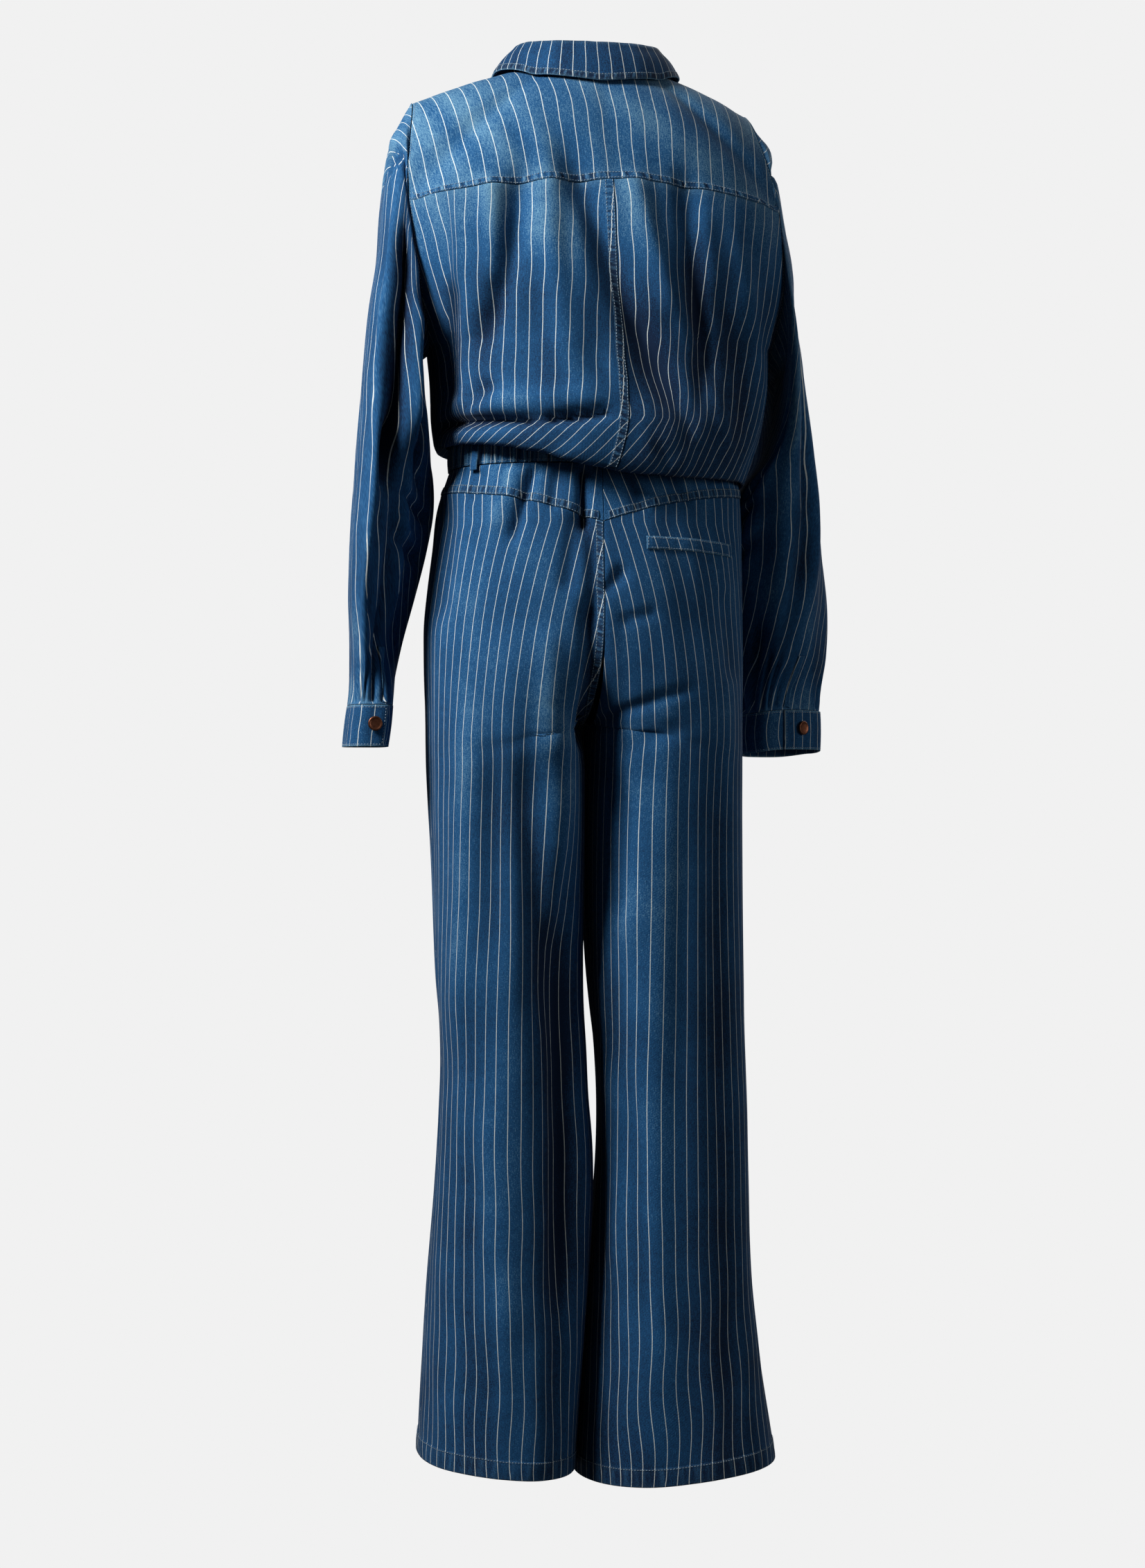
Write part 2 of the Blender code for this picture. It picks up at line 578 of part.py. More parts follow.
def neck_direction(angle):
    """The direction in which the cloth leaves the neck seam at an angle round the neck."""
    side = 1 if angle >= 0.0 else -1
    around = abs(angle)
    corner = float(armhole_angle(yoke_seam_drop(1.0)))
    if around <= NECK_AT_BACK_CORNER:
        share = around / NECK_AT_BACK_CORNER
        way = body(side, "back", share, yoke_seam_drop(share)) - neck(angle)
        way = way + 4.0 * mix(YOKE_CROWN_BACK, YOKE_CROWN_TOP, share) * YOKE_CROWN_WAY
    elif around <= NECK_AT_FRONT_SEAM:
        over = (NECK_AT_FRONT_SEAM - around) / (NECK_AT_FRONT_SEAM - NECK_AT_BACK_CORNER)
        way = armhole(side, mix(FRONT_CORNER, corner, over)) - neck(angle)
        way = way + 4.0 * YOKE_CROWN_TOP * ease(over) * YOKE_CROWN_WAY
    else:
        share = BIB_BEND * (180.0 - around) / (180.0 - NECK_AT_FRONT_SEAM)
        way = body(side, "front", share, BIB_DROP) - neck(angle)
        way = way + 4.0 * BIB_CROWN * BIB_CROWN_WAY * (1.0 - share**2)
    return way / np.linalg.norm(way)


def collar_grid():
    """Collar: columns round the neck, rows up the stand, over the fold and down the fall."""
    columns = []
    half = np.append(neck_columns()[:-1], COLLAR_END)
    for angle in np.concatenate([-half[:0:-1], half]):
        side = 1 if angle >= 0.0 else -1
        seam = neck_edge(angle)
        turn = math.radians(angle)
        out = np.array([math.sin(turn), math.cos(turn), 0.0])
        up = np.array([0.0, 0.0, 1.0])
        front = float(ease((abs(angle) - COLLAR_FRONT_FROM) / COLLAR_FRONT_WIDE))
        beside = float(ease(abs(angle) / 90.0))
        stand = mix(mix(COLLAR_STAND_BACK, COLLAR_STAND_SIDE, beside), COLLAR_STAND_FRONT, front)
        fall = mix(COLLAR_FALL_BACK, COLLAR_FALL_FRONT, front)
        along = neck_direction(angle)
        normal = 0.8 * out + 0.6 * up
        normal = normal - normal.dot(along) * along
        normal /= np.linalg.norm(normal)
        spread = COLLAR_SPREAD * float(ease((abs(angle) - COLLAR_SPREAD_FROM) / COLLAR_SPREAD_WIDE))
        over_seam = float(ease(1.0 - abs(abs(angle) - COLLAR_HIGH_AT) / COLLAR_HIGH_WIDE))
        off = mix(COLLAR_OFF_BACK, COLLAR_OFF_FRONT, front) + COLLAR_OFF_MORE * over_seam
        edge = seam + along * fall + np.array([side * spread, 0.0, 0.0]) + normal * off
        lean = mix(up, normal, front)
        column = [seam + (stand * row["stand"] + row["up"]) * lean + row["out"] * out + row["along"] * along
                  for row in COLLAR_FOLD]
        top = column[-1]
        for down in COLLAR_FALL_ROWS:
            bow = COLLAR_BOW * math.sin(math.pi * down)
            column.append(mix(top, edge, down) + bow * normal)
        columns.append(column)
    return np.array(columns).transpose(1, 0, 2)


def band_grid():
    """Waistband: gathered elastic casing, open at the centre front."""
    count = GATHERS * 4
    around = np.linspace(-180.0, 180.0, count + 1)
    wave = GATHER_DEPTH * np.cos(np.radians(around * GATHERS))
    rows = []
    for drop in (BAND_TOP, BAND_LOW):
        row = []
        for angle, grow in zip(around, wave):
            side = 1 if angle >= 0.0 else -1
            face = "back" if abs(angle) <= 90.0 else "front"
            share = abs(angle) / 90.0 if face == "back" else 2.0 - abs(angle) / 90.0
            row.append(ring(LOWER, side, face, share, drop, grow))
        rows.append(row)
    return np.array(rows)


def hip_seam_drop(share):
    """The hip yoke seam's drop, from the centre back (0) to the side (1)."""
    return mix(HIP_SEAM_BACK, HIP_SEAM_SIDE, 1.0 - (1.0 - np.asarray(share)) ** 2)


def hip_yoke_grid(side):
    """Hip yoke: rows from the waistband down to its pointed seam."""
    share = np.linspace(0.0, 1.0, LEG_SEGMENTS + 1)
    return np.array([ring(LOWER, side, "back", share, mix(HIP_TOP, hip_seam_drop(share), f))
                     for f in HIP_YOKE_ROWS])


def trouser_row(side, face, share, stage, top):
    """One row of a trouser panel.

    Stages 0 to 1 are the hips, 1 to 2 the stretch where the centre seam turns under to the
    crotch, and 2 to 3 the leg. The section's middle moves from the body's centre to the
    leg's, so that a quarter section opens into a half one. A row is lower at the side seam
    than at the crotch, by how far across a point lies, which takes a second pass to settle.
    """
    rise = min(max(stage - 1.0, 0.0), 1.0)
    leg = max(stage - 2.0, 0.0)
    sink = math.sin(rise * math.pi / 2.0)
    edge = "left" if side > 0 else "right"
    if stage <= 1.0:
        drop_out = mix(top, RISE_START, stage)
        drop_in = drop_out
    else:
        drop_out = mix(mix(RISE_START, THIGH, rise), HEM[side] - HEM_RISE, leg)
        drop_in = mix(mix(RISE_START, CROTCH, sink), HEM[side], leg)
    across = share
    for _ in range(2):
        drop = mix(drop_in, drop_out, ease(across))
        outer = side * smooth(LOWER, edge, drop)
        half_y = np.abs(smooth(LOWER, face, drop))
        below = np.maximum(drop, THIGH)
        inner = side * smooth(INSIDE, edge, below)
        middle_leg = (side * smooth(LOWER, edge, below) + inner) / 2.0
        middle = mix(SPLIT_X, middle_leg, sink)
        half_in = np.abs(middle_leg - inner)
        plane = mix(SPLIT_X, inner, sink * sink)
        away = np.clip(np.abs(middle - plane) / half_in, 0.0, 1.0)
        start = -np.arctan2(away * half_in, half_y * (1.0 - away**FULL) ** (1.0 / FULL))
        direction = mix(start, math.pi / 2.0, share)
        half_x = np.where(direction < 0.0, half_in, np.abs(outer - middle))
        x, y = section(half_x, half_y, direction)
        x = middle + side * x
        across = (x - plane) / (outer - plane)
    return points(x, y if face == "back" else -y, -drop)


def trouser_grid(side, face):
    """Trouser panel: rows from the hip yoke or waistband down to the hem."""
    share = np.linspace(0.0, 1.0, LEG_SEGMENTS + 1)
    top = hip_seam_drop(share) if face == "back" else np.full_like(share, HIP_TOP)
    stages = np.concatenate([np.linspace(0.0, 1.0, HIP_ROWS + 1)[:-1],
                             np.linspace(1.0, 2.0, RISE_ROWS + 1)[:-1],
                             np.linspace(2.0, 3.0, LEG_ROWS + 1)])
    return np.array([trouser_row(side, face, share, stage, top) for stage in stages])


# ------------------------------------------------------------------ work on grids
def grid_normals(grid):
    """Unit normals of a grid, by its own columns and rows."""
    across = np.gradient(grid, axis=1)
    down = np.gradient(grid, axis=0)
    normal = np.cross(down, across)
    length = np.linalg.norm(normal, axis=-1, keepdims=True)
    return normal / np.maximum(length, 1e-9)


def outward(grid):
    """Normals that point away from the middle of the piece's own hollow."""
    normal = grid_normals(grid)
    if np.sum(normal[..., :2] * grid[..., :2]) < 0.0:
        normal = -normal
    return normal


def press(grid, flat, folds, strength):
    """Press folds into a grid: each is two ends on the flat cloth, a half width and a depth."""
    normal = outward(grid)
    moved = grid.copy()
    for start, end, width, depth in folds:
        line = end - start
        along = np.clip((flat - start) @ line / line.dot(line), 0.0, 1.0)
        gap = np.linalg.norm(flat - start - along[..., None] * line, axis=-1)
        fade = ease(np.minimum(along, 1.0 - along) / FOLD_FADE + FOLD_END)
        moved += normal * (depth * np.exp(-(gap / width) ** 2) * fade * strength)[..., None]
    return moved


def fold_back(grid):
    """Press the largest folds of the back into one of its panels, but not into its seams."""
    edge_row = np.minimum(np.arange(grid.shape[0]), np.arange(grid.shape[0])[::-1])
    edge_column = np.minimum(np.arange(grid.shape[1]), np.arange(grid.shape[1])[::-1])
    inside = ease(np.minimum(edge_row[:, None], edge_column[None, :]) / FOLD_EDGE_ROWS)
    behind = ease(grid[..., 1] / FOLD_BEHIND)
    folds = [(np.array([row["x0"], -row["drop0"]]), np.array([row["x1"], -row["drop1"]]),
              row["width"], row["depth"]) for row in BACK_FOLDS]
    return press(grid, grid[..., [0, 2]], folds, inside * behind)


def keep_back(grid, top=SEAM, bottom=SEAM, first=SEAM, last=SEAM):
    """Move a panel's edges back from its seams, square to each seam."""
    grid = grid.copy()

    def pull(edge, inner, amount):
        line = np.gradient(edge, axis=0)
        line /= np.linalg.norm(line, axis=-1, keepdims=True)
        way = inner - edge
        way -= np.sum(way * line, axis=-1, keepdims=True) * line
        return edge + way / np.linalg.norm(way, axis=-1, keepdims=True) * amount

    grid[0] = pull(grid[0], grid[1], top)
    grid[-1] = pull(grid[-1], grid[-2], bottom)
    grid[:, 0] = pull(grid[:, 0], grid[:, 1], first)
    grid[:, -1] = pull(grid[:, -1], grid[:, -2], last)
    return grid


def lie_on(grid, rows, columns, lift=LIFT):
    """Points of a strip that lies on a panel, by row and column of the panel's own grid."""
    normal = outward(grid)
    rows, columns = np.broadcast_arrays(rows, columns)
    low_row = np.clip(rows.astype(int), 0, grid.shape[0] - 2)
    low_column = np.clip(columns.astype(int), 0, grid.shape[1] - 2)
    part_row = (rows - low_row)[..., None]
    part_column = (columns - low_column)[..., None]

    def read(field):
        upper = mix(field[low_row, low_column], field[low_row, low_column + 1], part_column)
        lower = mix(field[low_row + 1, low_column], field[low_row + 1, low_column + 1], part_column)
        return mix(upper, lower, part_row)

    return read(grid) + lift * read(normal)


# ------------------------------------------------------------------ Blender objects
def clear_scene():
    """Remove every object of the open scene."""
    for item in list(bpy.data.objects):
        bpy.data.objects.remove(item, do_unlink=True)


def make_material(finish):
    """Principled material of a finish."""
    name, colour, roughness, metallic = finish
    material = bpy.data.materials.get(name) or bpy.data.materials.new(name)
    material.use_nodes = True
    shader = material.node_tree.nodes["Principled BSDF"]
    shader.inputs["Base Color"].default_value = (*colour, 1.0)
    shader.inputs["Roughness"].default_value = roughness
    shader.inputs["Metallic"].default_value = metallic
    return material


def add_cloth(collection, name, grid, finish=DENIM, wall=WALL, closed=False):
    """A panel of cloth: an open grid of points with Solidify."""
    if closed:
        grid = grid[:, :-1]
    row_count, column_count = grid.shape[:2]
    faces = []
    for row in range(row_count - 1):
        for column in range(column_count if closed else column_count - 1):
            after = (column + 1) % column_count
            start = row * column_count
            faces.append((start + column, start + after,
                          start + column_count + after, start + column_count + column))
    mesh = bpy.data.meshes.new(name)
    mesh.from_pydata(grid.reshape(-1, 3).tolist(), [], faces)
    mesh.materials.append(make_material(finish))
    mesh.shade_smooth()
    item = bpy.data.objects.new(name, mesh)
    collection.objects.link(item)
    skin = item.modifiers.new("wall", "SOLIDIFY")
    skin.thickness = wall
    skin.offset = 0.0
    return item


def add_button(collection, name, centre, facing, gap):
    """A shank button: a turned cap with a rounded rim on a short post."""
    half = BUTTON_WIDTH / 2.0
    post = POST_WIDTH / 2.0
    back = gap + POST_HEIGHT
    profile = [(half * row["radius"], back + BUTTON_THICK * row["height"]) for row in BUTTON_CAP]
    profile += [(post, back), (post, gap), (0.0, gap)]
    edges = [(i, i + 1) for i in range(len(profile) - 1)]
    mesh = bpy.data.meshes.new(name)
    mesh.from_pydata([(radius, 0.0, height) for radius, height in profile], edges, [])
    mesh.materials.append(make_material(COPPER))
    item = bpy.data.objects.new(name, mesh)
    collection.objects.link(item)
    turned = item.modifiers.new("turned", "SCREW")
    turned.steps = 14
    turned.render_steps = 14
    turned.use_merge_vertices = True
    turned.merge_threshold = 0.00001
    turned.use_smooth_shade = True
    item.rotation_euler = Vector(facing).to_track_quat("Z", "X").to_euler()
    item.location = centre
    return item


# ------------------------------------------------------------------ what lies on the panels
def centre_strip(left, right, half, last_row):
    """A strip over the seam between two mirrored panels, made from the points of both."""
    rows = np.concatenate([[STRIP_START], np.arange(1.0, last_row + 1)])
    parts = [lie_on(right, rows, np.full(len(rows), half)),
             (lie_on(right, rows, np.zeros(len(rows))) + lie_on(left, rows, np.zeros(len(rows)))) / 2.0,
             lie_on(left, rows, np.full(len(rows), half))]
    return np.array(parts).transpose(1, 0, 2)


def on_front_band(band, drop):
    """A point of the band's middle line at a drop, and the way that it faces."""
    line = band[:, 1]
    rows = np.arange(len(line))
    row = np.interp(drop, -line[:, 2], rows)
    normal = outward(band)[:, 1]
    centre = np.array([np.interp(row, rows, line[:, axis]) for axis in range(3)])
    facing = np.array([np.interp(row, rows, normal[:, axis]) for axis in range(3)])
    return centre, facing


def welt_grid(panel):
    """Welt of the back pocket, on the right trouser back, bent where the panel is bent."""
    share = np.linspace(0.0, 1.0, 101)
    across = -ring(LOWER, -1, "back", share, WELT_DROPS[0])[:, 0]
    ends = np.interp([WELT_IN_X, WELT_OUT_X], across, share) * LEG_SEGMENTS
    bends = np.arange(math.ceil(ends[0] + WELT_BEND_CLEAR), math.floor(ends[1] - WELT_BEND_CLEAR) + 1)
    columns = np.concatenate([ends[:1], bends, ends[1:]])
    along = (columns - ends[0]) / (ends[1] - ends[0])
    top = hip_seam_drop(columns / LEG_SEGMENTS)
    rows = []
    for down in (0.0, 1.0):
        drop = mix(WELT_DROPS[0], WELT_DROPS[1], along) + down * WELT_HEIGHT
        rows.append(lie_on(panel, HIP_ROWS * (drop - top) / (RISE_START - top), columns, WELT_LIFT))
    return np.array(rows)


def slit_grid(sleeve, side):
    """Binding of the sleeve slit, a narrow strip that runs up from the cuff."""
    column = (CUFF_TABS[side][0] - SLIT_TURN) % 360.0 / 360.0 * SLEEVE_SEGMENTS
    length = -sleeve[:, int(column), 2]
    above = np.array([SLIT_LENGTH, SLIT_LENGTH / 2.0, SLIT_END])
    rows = np.interp(length[-1] - above, length, np.arange(len(length)))
    across = column + SLIT_HALF * np.array([-1.0, 0.0, 1.0])
    return np.array([lie_on(sleeve, np.full(3, row), across) for row in rows])


def loop_grid(side, face, share):
    """Belt loop: a narrow strip that stands off the waistband between its two ends."""
    middle = ring(LOWER, side, face, share, BAND_TOP)
    half = LOOP_WIDTH / 2.0 / np.linalg.norm(middle[:2]) / (math.pi / 2.0)
    across = share + half * np.array([-1.0, 0.0, 1.0])
    return np.array([ring(LOWER, side, face, across, row["drop"], row["off"]) for row in LOOP_PROFILE])


def main():
    """Build every piece of the jumpsuit."""
    clear_scene()
    collection = bpy.data.collections.new("jumpsuit")
    bpy.context.scene.collection.children.link(collection)

    add_cloth(collection, "back_yoke", keep_back(yoke_grid(), top=NECK_SEAM), DENIM_WASHED)
    add_cloth(collection, "collar", collar_grid())
    add_cloth(collection, "waistband", keep_back(band_grid(), 0.0, 0.0))
    fronts, flies = {}, {}
    for side, word in ((1, "left"), (-1, "right")):
        fronts[side] = front_grid(side)
        add_cloth(collection, "bodice_back_" + word, keep_back(fold_back(back_grid(side)), bottom=0.0))
        top = np.where(front_shares() <= BIB_BEND, NECK_SEAM, SEAM)[:, None]
        add_cloth(collection, "bodice_front_" + word, keep_back(fronts[side], top, 0.0))
        sleeve = sleeve_grid(side)
        add_cloth(collection, "sleeve_" + word, sleeve, closed=True)
        add_cloth(collection, "sleeve_slit_" + word, slit_grid(sleeve, side), wall=THIN_WALL)
        cuff = cuff_grid(side)
        add_cloth(collection, "cuff_" + word, cuff)
        button_turn = CUFF_TABS[side][1]
        centre = sleeve_section(SLEEVES[side], side, len(SLEEVES[side]) - 1.0, button_turn, CUFF_LAP)
        beyond = sleeve_section(SLEEVES[side], side, len(SLEEVES[side]) - 1.0, button_turn, FACING_STEP)
        facing = beyond - centre
        facing[2] = 0.0
        centre[2] -= CUFF_GAP + CUFF_HEIGHT * CUFF_BUTTON_DOWN
        add_button(collection, "cuff_button_" + word, centre, facing, WALL / 2.0 + BUTTON_GAP)
        hips = fold_back(hip_yoke_grid(side))
        add_cloth(collection, "hip_yoke_" + word, keep_back(hips))
        seat = fold_back(trouser_grid(side, "back"))
        add_cloth(collection, "trouser_back_" + word, keep_back(seat, bottom=0.0))
        flies[side] = trouser_grid(side, "front")
        add_cloth(collection, "trouser_front_" + word, keep_back(flies[side], bottom=0.0))
        if side < 0:
            add_cloth(collection, "back_pocket_welt", welt_grid(seat), wall=THIN_WALL)

    band = centre_strip(fronts[1], fronts[-1], BAND_HALF, len(fronts[1]) - 3)
    add_cloth(collection, "front_band", band, wall=THIN_WALL)
    for number, drop in enumerate(FRONT_BUTTON_DROPS, 1):
        centre, facing = on_front_band(band, drop)
        add_button(collection, "front_button_%d" % number, centre, facing, THIN_WALL / 2.0 + BUTTON_GAP)
    fly = centre_strip(flies[1], flies[-1], FLY_HALF, HIP_ROWS)
    add_cloth(collection, "fly_band", fly, wall=THIN_WALL)
    centre = ring(LOWER, 1, "front", 0.0, WAIST_BUTTON_DROP)
    add_button(collection, "waist_button", centre, (0.0, -1.0, 0.0), GATHER_DEPTH + WALL / 2.0 + BUTTON_GAP)
    for number, (side, face, share) in enumerate(LOOP_SHARES, 1):
        add_cloth(collection, "belt_loop_%d" % number, loop_grid(side, face, share), wall=THIN_WALL)


if __name__ == "__main__":
    main()
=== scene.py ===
"""The striped denim jumpsuit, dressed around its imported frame.

Units are metres and +Z is up. The front faces -Y, the wearer's left is +X, and a drop is a
depth below the base of the neck. Each panel is worked out from the same section tables as
its solid, made finer, creased, and given its place on the flat cloth, which the stripes
follow. Seam strips, stitches and buttons are pieces of their own.
"""
import logging
import math
from dataclasses import dataclass, field
from enum import Enum, IntEnum

import bpy
import numpy as np
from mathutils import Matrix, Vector


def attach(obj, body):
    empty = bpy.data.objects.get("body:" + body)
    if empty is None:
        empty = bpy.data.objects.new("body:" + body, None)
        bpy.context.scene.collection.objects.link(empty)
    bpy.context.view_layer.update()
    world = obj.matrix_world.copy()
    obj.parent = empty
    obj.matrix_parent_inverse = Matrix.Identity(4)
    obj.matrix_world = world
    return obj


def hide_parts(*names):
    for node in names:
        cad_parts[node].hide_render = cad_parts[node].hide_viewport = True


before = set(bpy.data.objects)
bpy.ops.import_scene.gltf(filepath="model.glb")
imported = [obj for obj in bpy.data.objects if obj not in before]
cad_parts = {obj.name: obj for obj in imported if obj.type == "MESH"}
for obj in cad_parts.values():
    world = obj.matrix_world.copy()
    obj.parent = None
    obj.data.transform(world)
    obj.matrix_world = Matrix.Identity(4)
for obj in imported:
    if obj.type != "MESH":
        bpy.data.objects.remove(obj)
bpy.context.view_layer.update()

LOG = logging.getLogger("jumpsuit")
Array = np.ndarray

MM = 0.001
STEP = 4.6 * MM              # spacing of a panel's points, away from its edges
EDGE_STEPS = np.array([0.0, 1.0, 2.2, 3.6, 5.4, 7.6]) * MM
WALL = 0.9 * MM              # one layer of denim
STRIP_WALL = 0.7 * MM        # a seam's turnings, pressed flat
SEAM_GAP = 0.26 * MM         # a panel's edge stays this far back from its seam
NECK_GAP = 1.3 * MM          # and this far at the neck, where the collar stands
STRIP_SHARES = np.array([0.0, 0.06, 0.2, 0.4, 0.6, 0.8, 0.94, 1.0])
BODY_NAME = "root"


class Side(IntEnum):
    """The wearer's left or right, as the sign of x."""

    LEFT = 1
    RIGHT = -1

    @property
    def word(self) -> str:
        """The side's name in the pieces' names."""
        return self.name.lower()


# ------------------------------------------------------------------ tables of the form
def table(names: str, *rows: tuple) -> Array:
    """Make a table with named columns.

    Args:
        names: the columns' names, with spaces between them.
        rows: one tuple for each row.

    Returns:
        A structured array.
    """
    return np.array(list(rows), dtype=[(name, "f8") for name in names.split()])


# Outer edges to the left and right, the centre seam, and the depths of back and front.
BODY = table(
    "drop left right centre back front",
    (0.020, .182, .164, -.002, .100, -.070),
    (0.070, .190, .174, -.003, .118, -.090),
    (0.120, .194, .1855, -.005, .129, -.106),
    (0.170, .189, .192, -.007, .137, -.120),
    (0.230, .178, .194, -.010, .142, -.131),
    (0.280, .165, .188, -.013, .143, -.133),
    (0.320, .162, .1855, -.015, .146, -.132),
    (0.350, .161, .181, -.017, .152, -.131),
    (0.380, .158, .172, -.013, .153, -.128),
    (0.420, .154, .160, -.004, .147, -.123))

# Lowest point of the blouse's roll, by place across the body.
ROLL = table("x drop", (-.170, .412), (-.080, .414), (.000, .408), (.060, .394),
             (.100, .385), (.165, .377))

# The blouse: fall goes from chest (0) to the roll (1), reach from waist (0) to outline (1).
BLOUSE = table("fall reach", (0.30, 1.00), (0.58, 1.00), (0.80, 0.97), (0.94, 0.91),
               (1.00, 0.77), (0.97, 0.63))

LOWER = table(
    "drop left right centre back front",
    (0.369, .139, .154, .004, .111, -.104),
    (0.399, .142, .156, .004, .113, -.106),
    (0.425, .152, .159, .004, .118, -.109),
    (0.460, .157, .160, .004, .124, -.112),
    (0.500, .162, .160, .004, .130, -.113),
    (0.550, .168, .161, .004, .133, -.112),
    (0.600, .168, .161, .004, .128, -.109),
    (0.650, .166, .160, .004, .118, -.106),
    (0.700, .165, .160, .004, .110, -.104),
    (0.800, .160, .161, .004, .101, -.101),
    (0.930, .155, .163, .004, .094, -.098),
    (0.985, .151, .164, .004, .091, -.096),
    (1.035, .152, .166, .004, .090, -.095),
    (1.135, .157, .168, .004, .091, -.096),
    (1.235, .165, .171, .004, .096, -.099),
    (1.335, .171, .183, .004, .104, -.102),
    (1.430, .177, .197, .004, .111, -.105))

INSIDE = table(
    "drop left right",
    (0.700, .0062, -.0022), (0.800, .0062, -.0022), (0.870, .0062, .0000),
    (0.930, .0066, .0036), (0.985, .0036, .0094), (1.035, .0014, .0130),
    (1.085, -.0028, .0136), (1.135, -.0042, .0110), (1.235, .0010, .0030),
    (1.335, .0095, -.0058), (1.430, .0170, -.0132))

SLEEVE_COLUMNS = "out_x out_drop in_x in_drop mid_y half_depth twist"
SLEEVE_LEFT = table(
    SLEEVE_COLUMNS,
    (.2040, .067, .1770, .290, .002, .077, 0),
    (.2125, .126, .1765, .303, .003, .079, 0),
    (.2160, .177, .1750, .319, .005, .080, 0),
    (.2240, .227, .1735, .338, .007, .080, 0),
    (.2295, .278, .1705, .359, .008, .080, 0),
    (.2335, .328, .1660, .384, .010, .079, 0),
    (.2375, .378, .1615, .412, .010, .078, 0),
    (.2415, .429, .1615, .444, .010, .076, 0),
    (.2445, .479, .1685, .484, .008, .072, 0),
    (.2460, .530, .1805, .532, .004, .066, 0),
    (.2435, .580, .1930, .580, -.002, .058, 0),
    (.2445, .626, .2015, .626, -.007, .050, 0),
    (.2460, .640, .2030, .640, -.008, .0475, 0))
SLEEVE_RIGHT = table(
    SLEEVE_COLUMNS,
    (.1850, .067, .2015, .290, .000, .076, 0),
    (.1970, .126, .2015, .303, -.003, .078, 0),
    (.2035, .177, .2010, .319, -.006, .079, 0),
    (.2105, .227, .2000, .338, -.010, .079, 0),
    (.2185, .278, .1970, .359, -.016, .078, 0),
    (.2300, .328, .1900, .384, -.024, .076, 2),
    (.2430, .378, .1700, .412, -.034, .073, 5),
    (.2545, .429, .1600, .444, -.044, .070, 10),
    (.2635, .479, .1660, .484, -.054, .066, 18),
    (.2675, .530, .1760, .533, -.064, .061, 30),
    (.2640, .582, .1850, .584, -.073, .055, 42),
    (.2550, .626, .1960, .632, -.080, .049, 52),
    (.2540, .641, .2000, .649, -.082, .0470, 55))

# Creases, as bowed lines on the cloth: both ends, the bow of the middle to one side, half
# width, depth (negative is a trough), and how far the stripes are drawn sideways there.
CREASE = "a0 b0 a1 b1 bow width depth pull"

# On the back, by place across and drop, seen from behind.
BACK_CREASES = table(
    CREASE,
    (.165, .357, .070, .362, 0, .0055, -.015, 0),
    (.070, .362, 0, .353, 0, .005, -.012, 0),
    (.160, .344, 0, .338, 0, .012, .005, 0),
    (.112, .320, .148, .354, 0, .008, -.006, 0),
    (.150, .215, .152, .345, .002, .006, -.006, 0),
    (.086, .105, .123, .290, .004, .012, -.010, 0),
    (.064, .095, .040, .320, -.004, .014, .008, 0),
    (.118, .110, .112, .230, 0, .011, .006, 0),
    (.046, .070, -.061, .356, -.004, .015, -.011, 0),
    (-.022, .106, -.066, .262, -.003, .014, .009, 0),
    (-.078, .100, -.104, .345, -.003, .013, -.010, 0),
    (.030, .135, .030, .340, 0, .014, .003, 0),
    (.096, .055, .060, .160, .004, .012, -.0035, 0),
    (-.092, .140, -.110, .300, 0, .012, .004, 0),
    (-.105, .215, -.150, .375, .004, .010, -.004, -.002),
    (-.022, .250, -.085, .395, .006, .009, -.0035, .003),
    (-.060, .235, -.125, .390, .006, .009, .004, 0),
    (.010, .290, -.045, .395, .004, .008, .003, 0),
    (-.012, .330, -.060, .410, 0, .007, -.003, 0),
    (-.130, .160, -.168, .330, 0, .012, .004, 0))

